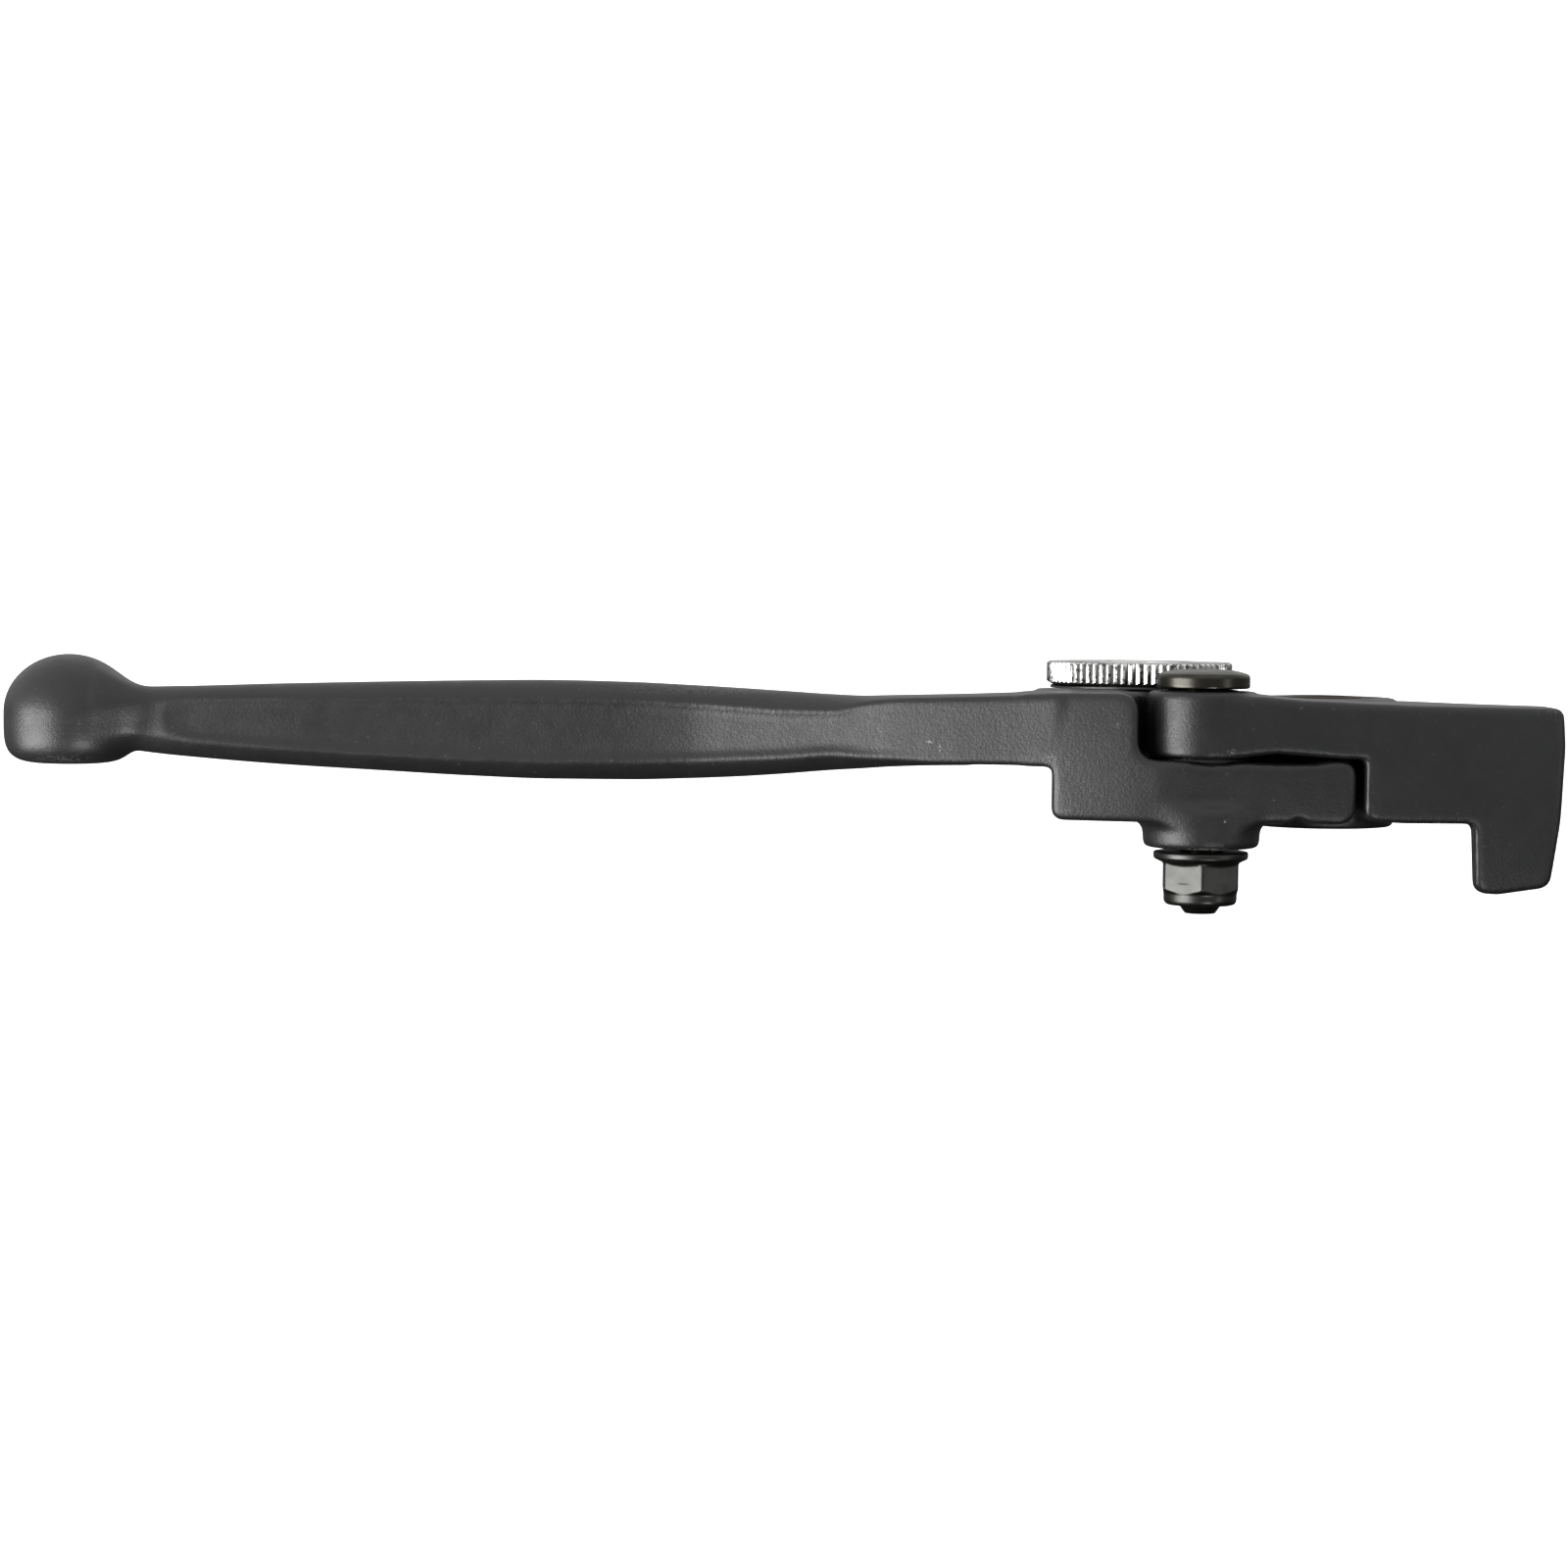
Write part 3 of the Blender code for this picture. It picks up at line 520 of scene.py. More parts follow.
def turned_metal(name, base, rough, axis_xy, metallic=1.0, along="Z", grime=0.35, lines=0.25, dark=None):
    """Metal with fine tooling rings about its axis, patchy polish and a little grime."""
    m, nodes, links, p = new_material(name)
    c = object_coord(nodes)
    sep = nodes.new("ShaderNodeSeparateXYZ")
    links.new(c, sep.inputs[0])
    ia, ib, ic = {"Z": (0, 1, 2), "Y": (0, 2, 1), "X": (1, 2, 0)}[along]
    a = math_node(nodes, links, "SUBTRACT", sep.outputs[ia], axis_xy[0] * MM)
    b = math_node(nodes, links, "SUBTRACT", sep.outputs[ib], axis_xy[1] * MM)
    r2 = math_node(nodes, links, "ADD", math_node(nodes, links, "MULTIPLY", a, a), math_node(nodes, links, "MULTIPLY", b, b))
    rad = math_node(nodes, links, "SQRT", r2)
    along_len = math_node(nodes, links, "ADD", rad, math_node(nodes, links, "MULTIPLY", sep.outputs[ic], 1.0))
    rings = noise(nodes, links, along_len, 9000.0, 2.0, 0.6, "1D")
    patch = noise(nodes, links, c, 260.0, 3.0, 0.6)
    fine = noise(nodes, links, c, 3500.0, 2.0, 0.5)
    low = dark or tuple(v * 0.55 for v in base)
    tone = mix_colour(nodes, links, ramp(nodes, links, patch, 0.34, 0.62, grime, 0.0), base, low)
    links.new(tone, p.inputs["Base Color"])
    rr = ramp(nodes, links, patch, 0.3, 0.7, rough + 0.06, rough - 0.03)
    links.new(rr, p.inputs["Roughness"])
    n1 = bump(nodes, links, rings, lines, 0.000012)
    n2 = bump(nodes, links, fine, lines * 0.5, 0.00001, n1)
    links.new(n2, p.inputs["Normal"])
    p.inputs["Metallic"].default_value = metallic
    return m


def plastic(name, base, rough, scale=1500.0):
    m, nodes, links, p = new_material(name)
    c = object_coord(nodes)
    n = noise(nodes, links, c, scale, 3.0, 0.55)
    tone = mix_colour(nodes, links, ramp(nodes, links, n, 0.3, 0.7), tuple(v * 0.8 for v in base), tuple(v * 1.25 for v in base))
    links.new(tone, p.inputs["Base Color"])
    links.new(ramp(nodes, links, n, 0.3, 0.7, rough - 0.05, rough + 0.06), p.inputs["Roughness"])
    links.new(bump(nodes, links, n, 0.3, 0.00002), p.inputs["Normal"])
    return m


def put(o, m):
    o.data.materials.clear()
    o.data.materials.append(m)
    return o


# ------------------------------------------------------------------ lever blade
def blade_section(x):
    xs = [s[0] for s in STATIONS]
    zt, zb, zu, zl, yf, yb = (smooth_value(x, xs, [s[k] for s in STATIONS]) for k in range(1, 7))
    crest = yf + 0.36 * (yb - yf)
    mid = (zt + zb) / 2
    ring = [(yf, zl), (yf, zu)]
    for k in range(1, 8):
        s = math.radians(90 * k / 7)
        across = 0.35 * (1 - math.cos(s)) + 0.65 * k / 7
        ring.append((yf + (crest - yf) * across, zu + (zt - zu) * math.sin(s)))
    for k in range(1, 9):
        s = math.radians(90 * k / 9)
        ring.append((crest + (yb - crest) * math.sin(s) ** 0.8, mid + (zt - mid) * math.cos(s) ** 0.7))
    ring.append((yb, mid))
    for k in range(8, 0, -1):
        s = math.radians(90 * k / 9)
        ring.append((crest + (yb - crest) * math.sin(s) ** 0.8, mid + (zb - mid) * math.cos(s) ** 0.7))
    for k in range(7, 0, -1):
        s = math.radians(90 * k / 7)
        across = 0.35 * (1 - math.cos(s)) + 0.65 * k / 7
        ring.append((yf + (crest - yf) * across, zl + (zb - zl) * math.sin(s)))
    return np.array(ring, float)


def flute(f):
    """The long shallow recess in the finger's front, with a round end by the ball and fading out at the neck."""
    xs = [s[0] for s in STATIONS]
    lo, hi = (-158.6, None, -5), (-44, None, 12)
    w = f.window(lo, hi)
    x, y, z = f.coords(w)
    col = x[:, 0, 0]
    zu, zl, yf = (
        np.array([smooth_value(float(v), xs, [s[k] for s in STATIONS]) for v in col], np.float32)[:, None, None]
        for k in (3, 4, 5)
    )
    half = (zu - zl) / 2
    from_edge = half + 0.35 - np.abs(z - (zu + zl) / 2)
    left = x + 158.0 - 0.16 * (z - (zu + zl) / 2) ** 2
    t = np.clip(from_edge / 1.15, 0, 1)
    end = np.clip(left / 4.4, 0, 1)
    fade = np.clip((-46.5 - x) / 24.0, 0, 1)
    depth = 0.58 * t * t * (3 - 2 * t) * end * (2 - end) * fade * fade * (3 - 2 * fade)
    front = yf + depth - y
    f.d[w] = np.where((depth > 0.004) & (y < yf + 3), np.maximum(f.d[w], front), f.d[w])


def finger(x, y, z):
    """Signed distance to the finger, slice by slice, on a coarser set of slices."""
    xs = x[:, 0, 0]
    step = 3
    keys = np.arange(0, len(xs) + step - 1, step)
    key_x = np.clip(xs[0] + keys * (xs[1] - xs[0]), xs[0], None)
    rings = np.array([blade_section(float(v)) for v in key_x], np.float32)
    yy = np.broadcast_to(y, (len(keys), y.shape[1], z.shape[2]))
    zz = np.broadcast_to(z, yy.shape)
    best = np.full(yy.shape, 1e9, np.float32)
    inside = np.zeros(yy.shape, bool)
    n = rings.shape[1]
    for i in range(n):
        a, b = rings[:, i], rings[:, i - 1]
        ay, az = a[:, 0, None, None], a[:, 1, None, None]
        by, bz = b[:, 0, None, None], b[:, 1, None, None]
        ey, ez = by - ay, bz - az
        wy, wz = yy - ay, zz - az
        t = np.clip((wy * ey + wz * ez) / np.maximum(ey * ey + ez * ez, 1e-9), 0, 1)
        dy, dz = wy - ey * t, wz - ez * t
        np.minimum(best, dy * dy + dz * dz, out=best)
        cross = ey * wz > ez * wy
        p, q = zz >= az, zz < bz
        inside ^= (p & q & cross) | (~p & ~q & ~cross)
    dist = np.where(inside, -np.sqrt(best), np.sqrt(best))
    at = np.arange(len(xs)) / step
    i0 = np.minimum(at.astype(int), len(keys) - 2)
    f = (at - i0)[:, None, None].astype(np.float32)
    full = dist[i0] * (1 - f) + dist[i0 + 1] * f
    ends = np.maximum(-166.0 - x, x + 36.5)
    return np.maximum(full, ends)


def ball(x, y, z):
    profile = [(0.0, BALL[2] + BALL_TOP)]
    for k in range(1, 19):
        s = math.radians(5 * k)
        profile.append((BALL_R * math.sin(s), BALL[2] + BALL_TOP * math.cos(s)))
    for k in range(1, 19):
        u = math.radians(5 * k)
        e = 2 / 4.6
        profile.append((BALL_R * max(math.cos(u), 0.0) ** e, BALL[2] - BALL_BOTTOM * math.sin(u) ** e))
    half = [(-r, h) for r, h in reversed(profile[1:-1])]
    r = np.sqrt((x - BALL[0]) ** 2 + (y - BALL[1]) ** 2)
    return polygon(r, z, profile + half)


def build_blade():
    h = 0.34
    f = Field((-182.5, -27.0, -12.5), (4.5, 15.0, 14.5), h)
    f.union(finger, 0.0, (-167, -23, -5), (-35.5, 10, 12.5))
    w = f.window((-182.5, -9, -5), (-158, 13, 14.5))
    x, y, z = f.coords(w)
    up = np.clip((z - 1.0) / 6.0, 0, 1)
    near = np.clip((0.5 - y) / 3.0, 0, 1) * np.clip((z + 0.5) / 3.0, 0, 1)
    f.d[w] = smin(f.d[w], ball(x, y, z), 1.8 + 1.8 * up * up * (3 - 2 * up) + 2.2 * near)
    flute(f)
    fx = [-52.6, -47.4, -42.3, -37.0, -31.5, -26.5, -23.5, -21.0, -18.6, -13.0, 2.24]
    fy = [-15.2, -16.7, -18.4, -20.3, -22.0, -23.35, -23.95, -24.1, -23.85, -23.05, -20.7]
    face = [(-42.0 + 37.5 * k / 30, smooth_value(-42.0 + 37.5 * k / 30, fx, fy)) for k in range(31)]
    plan = rounded(
        [(-38.05, -5.5), (-42.0, -5.5)] + face + [
            (3.3, -20.55, 2.4), (3.3, -13.2, 2.0), (-8.0, -12.6, 3.0), (-11.5, -10.9, 2.0),
            (-14.5, -9.7, 2.0), (-18.9, -8.6), (-18.9, -5.5),
        ]
    )
    front = rounded(
        [
            (-42.4, 9.4), (-42.4, -0.28), (-38.1, -0.26, 0.8), (-38.05, -7.2, 1.6), (-30.0, -7.2), (-9.0, -7.2), (-6.5, -7.2),
            (-5.9, -6.75, 0.4), (-4.9, -6.75, 0.4), (-4.4, -7.2), (-2.0, -7.3), (2.24, -7.42, 2.1), (2.24, 1.07, 2.0), (-1.2, 1.07, 1.2), (-3.4, 0.7, 1.2),
            (-8.5, 0.66, 3.0), (-16.0, 1.04, 3.0), (-26.85, 1.04, 2.3), (-26.85, 9.82, 2.4), (-38.0, 9.68),
        ]
    )

    def root(x, y, z):
        return smax(drafted(polygon(x, y, plan), y, z, h, 1.5, 0.006, -15.0, 4.0), polygon(x, z, front), 0.5)

    f.union(root, 0.0, (-43.5, -27, -8.5), (4.5, -4.0, 11))
    angle = math.acos((-18.9 - DIAL[0]) / 10.2)
    arc = [
        (DIAL[0] + 10.2 * math.cos(a), DIAL[1] + 10.2 * math.sin(a))
        for a in (angle + (math.pi - angle) * k / 24 for k in range(25))
    ]
    shelves = [(-39.3, -6.2), (-30.0, -14.5), (-18.9, -14.5)] + arc + [(-36.0, 4.6), (-39.3, 3.2)]
    f.union(prism(shelves, -6.95, 9.7, 0.8), 0.8, (-42, -18, -8.5), (-15, 14, 11))
    # nothing below the finger to the left of the block, whose side tapers in towards the back
    f.minus(
        prism(rounded([(-52.0, -30.0), (-38.15, -30.0), (-38.15, -20.3), (-37.0, -6.2, 4.0), (-35.9, 12.0), (-52.0, 12.0)]), -11.0, -0.36, 0.0),
        0.5, (-48, -27, -9), (-34, 12, 2),
    )
    f.minus(cylinder(*HINGE, 8.3, 1.35, 14.0, 1.2), 0.8, (-28, -27, 0), (-8, -6, 14))
    f.minus(
        prism(rounded([(-32.0, -6.0, 2.5), (-8.0, -6.0), (-8.0, 17.0), (-32.0, 17.0)]), -2.9, 3.9, 0.6),
        0.7, (-34, -8, -4.5), (-8, 15, 5.5),
    )

    def lower_boss(x, y, z):
        r = np.sqrt((x - HINGE[0]) ** 2 + (y - HINGE[1]) ** 2)
        return smax(smax(r - 7.75, -10.75 - z, 0.9), z + 5.4, 0.8)

    f.union(lower_boss, 1.9, (-27.5, -26.5, -12.2), (-8.5, -7.5, 2))
    f.minus(cylinder(*DIAL, 10.35, 9.0, 14.0, 0.0), 0.3, (-36, -9, 7), (-13, 14, 14))
    f.minus(cylinder(*HINGE, 5.0, -13.0, 3.0), 0.5, (-25, -24, -12.5), (-11, -10, 3))
    f.minus(cylinder(*HINGE, 6.45, 0.5, 3.0), 0.4, (-26, -25, -0.5), (-10, -9, 3))
    f.minus(cylinder(*DIAL, 3.2, -9.0, 12.0), 0.5, (-30, -3, -9), (-20, 7, 12))
    f.minus(cylinder(*DIAL, 4.8, -9.0, -5.3), 0.4, (-31, -5, -9), (-18, 9, -4))
    f.minus(cylinder(-5.5, -3.2, 2.6, -20.0, -10.0, 0.0, "Y"), 0.5, (-9.5, -21.5, -7.2), (-1.5, -10, 1.5))
    # the spring's seat is opened out sideways, for the blade swings over the spring
    for swing in (2.0, 4.0, 6.0, 8.3):
        c, s = math.cos(math.radians(swing)), math.sin(math.radians(swing))

        def swept(x, y, z, c=c, s=s):
            dx, dy = x - HINGE[0], y - HINGE[1]
            wx, wy = HINGE[0] + c * dx - s * dy, HINGE[1] + s * dx + c * dy
            r = np.sqrt((wx + 5.5) ** 2 + (z + 3.2) ** 2) - 2.55
            return np.maximum(np.maximum(r, -20.0 + 0.17 * 11.25 * swing / 8.0 - 0.25 - wy), y + 10.0)

        f.minus(swept, 0.0, (-10.5, -22, -7.2), (0.5, -10, 1.5))
    f.soften(2)
    return f.mesh("blade_forging")


blade = build_blade()
coat_wear_and_rim_highlight = [
    ((-38.3, -20.1, 0.9), (1.6, 2.0, 1.5), 0.20, 4200.0),
    ((-36.3, -20.8, -5.9), (1.4, 2.0, 0.9), 0.18, 4200.0),
    ((-29.8, -22.4, 5.6), (0.7, 1.5, 0.5), 0.22, 2400.0),
    ((-54.0, -15.2, 2.8), (0.9, 3.0, 0.32), 0.5, 3000.0),
    ((-52.7, -15.4, 1.9), (0.30, 3.0, 0.9), 0.45, 3000.0),
    ((-15.6, -24.2, -6.9), (0.35, 1.0, 0.28), 0.8, 1200.0),
    # painted highlight: a light band along the bottom rim of the lower hinge boss
    ((-17.5, -24.0, -10.6), (4.5, 4.0, 0.30), 0.55, 3600.0),
    ((-85.0, -4.0, 9.2), (22.0, 6.0, 1.2), 0.10, 3200.0),
    ((-171.0, -4.0, -1.2), (6.0, 6.0, 1.0), 0.12, 3000.0),
]
put(
    blade,
    powder_coat(
        "powder_coat_blade", (0.0098, 0.0098, 0.0102), 0.425, coat_wear_and_rim_highlight,
        # painted shade: two dark patches on the blade's front face beside the block
        [((-31.2, -22.0, 0.1), (2.6, 3.0, 1.1), 0.6), ((-33.8, -21.6, 6.6), (2.6, 3.0, 1.6), 0.35)],
    ),
)
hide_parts("lever_blade")
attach(blade, "blade")


# ------------------------------------------------------------------ lever holder
def build_holder():
    h = 0.3
    f = Field((-27.5, -27.5, -18.5), (33.0, 31.5, 12.0), h)
    plan = rounded(
        [
            (-17.9, -24.3), (5.5, -20.6, 6.0), (32.3, -15.3, 2.8), (32.3, -6.6, 2.6), (28.0, -4.9, 4.0), (19.0, -3.0, 10.0),
            (9.0, 4.0), (0.0, 8.0), (-8.6, 4.6), (-16.95, -9.9), (-17.9, -12.0),
        ]
    )
    front = rounded(
        [
            (-20.0, 9.7), (-20.0, 1.24), (-16.0, 1.26, 2.0), (-8.5, 2.0, 4.0), (-3.0, 1.6, 3.0), (0.5, 1.28),
            (3.3, 1.22, 0.6), (3.3, -6.9, 1.6), (9.0, -7.22), (18.35, -7.3, 1.1), (18.85, -16.6, 1.6), (22.0, -16.85, 2.5),
            (29.2, -15.9, 1.8), (30.35, -7.0, 12.0), (30.8, 3.0, 10.0), (30.5, 8.15, 1.3), (9.0, 8.5), (7.0, 8.6), (-5.5, 9.1), (-10.3, 9.55),
        ]
    )

    def body(x, y, z):
        return smax(drafted(polygon(x, y, plan), y, z, h, 1.5, 0.005, -9.0, 4.0), polygon(x, z, front), 0.75)

    f.union(body, 0.0)
    f.minus(cylinder(*PIVOT, 10.7, 8.4, 14.0, 0.8), 0.4, (-13, -13, 7), (13, 13, 12))
    f.minus(
        prism(
            rounded([(11.0, -14.2), (17.4, -14.2, 2.0), (20.8, -10.6, 2.5), (36.0, -10.6), (36.0, 7.0), (11.0, 7.0)]),
            -24.0, -7.35, 0.9,
        ),
        1.0, (10, -17, -18.5), (32, 9, -5),
    )
    f.union(cylinder(*HINGE, 7.3, 1.24, 10.05, 0.6), 0.25, (-27.5, -27.5, 0), (-7, -6, 12))
    # the ear is milled flat underneath, and clear of the blade's tail
    f.union(cylinder(*PIVOT, 10.0, -8.65, 8.9, 0.4), 0.5, (-13, -13, -11), (13, 13, 12))
    f.union(prism([(-9.2, -9.8), (6.0, -9.8), (6.0, 0.3), (-9.2, 0.3)], -7.0, 4.0, 0.8), 1.2, (-12, -12, -9), (9, 3, 6))
    f.union(
        prism(rounded([(-17.2, -1.2, 0.8), (-5.0, -2.2), (-5.0, 6.4), (-17.2, 5.2, 0.8)]), -2.4, 3.4, 0.7),
        1.6, (-19.5, -4, -4), (-3, 8, 5),
    )
    nose = [
        (BARREL[0] + 7.4 * math.cos(a), BARREL[1] + 7.4 * math.sin(a))
        for a in (math.radians(-8 + 190 * k / 40) for k in range(41))
    ]
    f.union(prism(nose + [(-8.9, 2.0), (9.2, 1.0)], -5.6, 6.0, 1.3), 2.2, (-13, -3, -8), (14, 31.5, 8.5))
    f.minus(cylinder(*PIVOT, 5.65, -13.0, 13.0), 0.6, (-8, -8, -13), (8, 8, 13))
    f.minus(cylinder(*PIVOT, 7.85, 7.95, 13.0), 0.35, (-9.5, -9.5, 7), (9.5, 9.5, 12))
    f.minus(cylinder(*PIVOT, 7.85, -13.0, -7.65), 0.35, (-9.5, -9.5, -12), (9.5, 9.5, -6.5))
    f.minus(cylinder(*HINGE, 5.0, -1.0, 13.0), 0.5, (-24.5, -23.5, 0), (-11.5, -10.5, 12))
    f.minus(cylinder(-16.5, 2.0, 1.85, -5.0, 6.0), 0.3, (-19, -1, -4), (-13.5, 5, 5))
    f.minus(cylinder(-5.5, -3.2, 3.1, -13.0, -7.3, 0.0, "Y"), 0.5, (-10, -12, -8), (-1, -6.5, 1.5))
    f.minus(cylinder(*BARREL, 5.25, -9.0, 9.0), 0.7, (-4.5, 14.5, -8), (9.5, 28.5, 8.5))
    f.minus(
        prism(rounded([(18.3, -3.0, 1.2), (27.6, -3.0, 1.2), (27.6, 3.0, 1.2), (18.3, 3.0, 1.2)]), 3.0, 14.0, 0.0, "X"),
        0.6, (2.0, 16, -5), (14, 30, 5),
    )
    # machined undersides of the ear: nothing of the holder reaches down to the blade's tail
    f.minus(
        prism([(-27.0, -27.0), (3.2, -27.0), (3.2, -9.95), (-14.0, -9.95), (-18.5, -8.0), (-27.0, -8.0)], -18.5, 1.2, 0.0),
        0.4, (-27.5, -27.5, -12), (4, -7, 2.5),
    )
    f.soften(2)
    return f.mesh("holder_forging")


holder = build_holder()
put(
    holder,
    powder_coat(
        "powder_coat_holder", (0.0082, 0.0085, 0.0088), 0.425,
        [
            ((15.7, -18.6, 3.6), (0.42, 1.5, 0.10), 1.6, 300.0),
            ((11.0, -19.5, -1.4), (0.25, 1.2, 0.22), 0.9, 900.0),
            ((14.0, -19.0, -7.2), (3.5, 2.0, 0.35), 0.55, 3200.0),
            ((18.2, -17.6, -9.5), (0.35, 2.0, 2.6), 0.6, 3200.0),
            ((-14.8, -24.0, 2.3), (1.0, 1.0, 0.6), 0.35, 3000.0),
            ((28.9, -16.2, 7.9), (1.2, 1.2, 0.8), 0.3, 3000.0),
        ],
    ),
)
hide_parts("lever_holder")
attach(holder, "holder")


def piece(name, bm_or_obj, mat, node, body, angle=35.0):
    o = from_bmesh(name, bm_or_obj, angle) if isinstance(bm_or_obj, bmesh.types.BMesh) else bm_or_obj
    put(o, mat)
    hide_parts(node)
    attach(o, body)
    return o


# ------------------------------------------------------------------ main pivot
piece(
    "pivot_bush",
    turned([(4.05, -8.8, 0.35), (5.45, -8.8, 0.2), (5.45, 9.05, 0.2), (4.05, 9.05, 0.35)], *PIVOT, 128),
    turned_metal("sintered_bronze", (0.062, 0.054, 0.042), 0.5, PIVOT, grime=0.6, dark=(0.05, 0.04, 0.03)),
    "main_pivot_bush", "pivot_bush",
)
rubber = plastic("seal_rubber_black", (0.022, 0.022, 0.022), 0.6)
for name, node, lo, hi, up in (
    ("dust_ring_upper", "pivot_seal_upper", 8.2, 8.86, 1),
    ("dust_ring_lower", "pivot_seal_lower", -8.6, -7.85, -1),
):
    top, low = (hi, lo) if up > 0 else (lo, hi)
    piece(
        name,
        turned(
            [(5.75, low), (7.6, low, 0.15), (7.6, top, 0.2), (6.9, top, 0.1), (6.7, top - 0.22 * up, 0.1), (6.35, top - 0.22 * up, 0.1), (6.15, top, 0.1), (5.75, top - 0.1 * up, 0.1)],
            *PIVOT, 128,
        ),
        rubber, node, "holder",
    )


# ------------------------------------------------------------------ hinge hardware
def build_bolt():
    h = 0.105
    f = Field((HINGE[0] - 7, HINGE[1] - 7, -20.2), (HINGE[0] + 7, HINGE[1] + 7, 13.6), h)

    def head(x, y, z):
        r = np.sqrt((x - HINGE[0]) ** 2 + (y - HINGE[1]) ** 2)
        side = r - 6.2
        crown = (z - 12.85) * 0.9578 + (r - 4.3) * 0.2873  # shallow cone down to the rim
        flat = z - 12.85
        return smax(smax(smax(side, crown, 0.5), flat, 0.3), 10.4 - z, 0.35)

    f.union(head)

    def shank(x, y, z):
        dx, dy = x - HINGE[0], y - HINGE[1]
        r = np.sqrt(dx**2 + dy**2)
        turns = (z - np.arctan2(dy, dx) / TAU) % 1.0
        groove = 0.36 * (1.0 - np.minimum(np.abs(turns - 0.5) * 2.6, 1.0)) * (z < -9.5)
        end = np.maximum(-19.5 - z, (r - 2.0) * 0.80 + (-19.5 - z) * 0.60)
        return np.maximum(np.maximum(r - 2.95 + groove, end), z - 10.6)

    f.union(shank, 0.15)
    # a broad screwdriver slot across the head
    f.minus(lambda x, y, z: np.maximum(np.abs(y - HINGE[1]) - 0.8, 11.6 - z) + 0 * x, 0.15, (None, None, 10.5), None)
    return f.mesh("hinge_bolt_fine")


def build_nut():
    h = 0.095
    f = Field((HINGE[0] - 7, HINGE[1] - 7, -18.9), (HINGE[0] + 7, HINGE[1] + 7, -10.4), h)

    def hexagon(x, y, z):
        d = None
        for k in range(3):
            a = math.radians(-92.9 + 30 + 60 * k)
            v = np.abs((x - HINGE[0]) * math.cos(a) + (y - HINGE[1]) * math.sin(a)) - 4.9
            d = v if d is None else smax(d, v, 0.25)
        r = np.sqrt((x - HINGE[0]) ** 2 + (y - HINGE[1]) ** 2)
        cone = (r - 5.0) * 0.55 + (-16.65 - z) * 0.83
        cone_up = (r - 5.15) * 0.55 + (z + 12.55) * 0.83
        return smax(smax(smax(d, cone, 0.2), cone_up, 0.2), np.maximum(-16.9 - z, z + 12.2), 0.1)

    def flange(x, y, z):
        r = np.sqrt((x - HINGE[0]) ** 2 + (y - HINGE[1]) ** 2)
        skirt = (r - 6.3) * 0.42 - (z + 12.2) * 0.907
        return smax(smax(smax(r - 6.3, z + 11.25, 0.3), skirt, 0.3), -13.0 - z, 0.1)

    def collar(x, y, z):
        r = np.sqrt((x - HINGE[0]) ** 2 + (y - HINGE[1]) ** 2)
        return smax(smax(r - 4.86, -18.4 - z, 0.9), z + 15.5, 0.0)

    f.union(hexagon)
    f.union(flange, 0.45)
    f.union(collar, 0.25)
    f.minus(cylinder(*HINGE, 3.1, -20.0, -9.0), 0.2)
    f.minus(cylinder(*HINGE, 4.0, -20.0, -16.9), 0.2)
    return f.mesh("lock_nut_fine")


bolt = build_bolt()
oxide = turned_metal("black_oxide_steel", (0.060, 0.058, 0.050), 0.30, HINGE, 1.0, grime=0.5, lines=0.15, dark=(0.028, 0.027, 0.023))
piece("shoulder_bolt", bolt, oxide, "hinge_bolt", "hinge")
bolt.name = "hinge_bolt_slotted"
nut = build_nut()
piece(
    "lock_nut", nut,
    turned_metal("plated_nut_steel", (0.056, 0.056, 0.054), 0.36, HINGE, 1.0, grime=0.5, lines=0.12, dark=(0.045, 0.045, 0.042)),
    "hinge_nut", "hinge",
)
piece(
    "hinge_sleeve_fine",
    turned([(3.25, -10.9, 0.2), (4.75, -10.9, 0.25), (4.75, 10.2, 0.25), (3.25, 10.2, 0.2)], *HINGE, 128),
    turned_metal("sleeve_phosphate", (0.10, 0.10, 0.095), 0.42, HINGE, 1.0, grime=0.5, dark=(0.03, 0.03, 0.03)),
    "hinge_sleeve", "hinge",
)
piece(
    "thrust_washer_fine",
    turned([(5.0, 0.78, 0.08), (6.15, 0.78, 0.08), (6.15, 1.2, 0.08), (5.0, 1.2, 0.08)], *HINGE, 96),
    turned_metal("washer_oxide", (0.022, 0.022, 0.021), 0.6, HINGE, 0.6, grime=0.5, dark=(0.012, 0.012, 0.012)),
    "hinge_thrust_washer", "hinge",
)
piece(
    "nylon_ring",
    turned([(3.05, -17.85, 0.15), (3.92, -17.85, 0.1), (3.92, -16.95, 0.1), (3.05, -16.95, 0.1)], *HINGE, 96),
    plastic("nylon_dark", (0.10, 0.10, 0.105), 0.45),
    "nut_insert", "hinge",
)


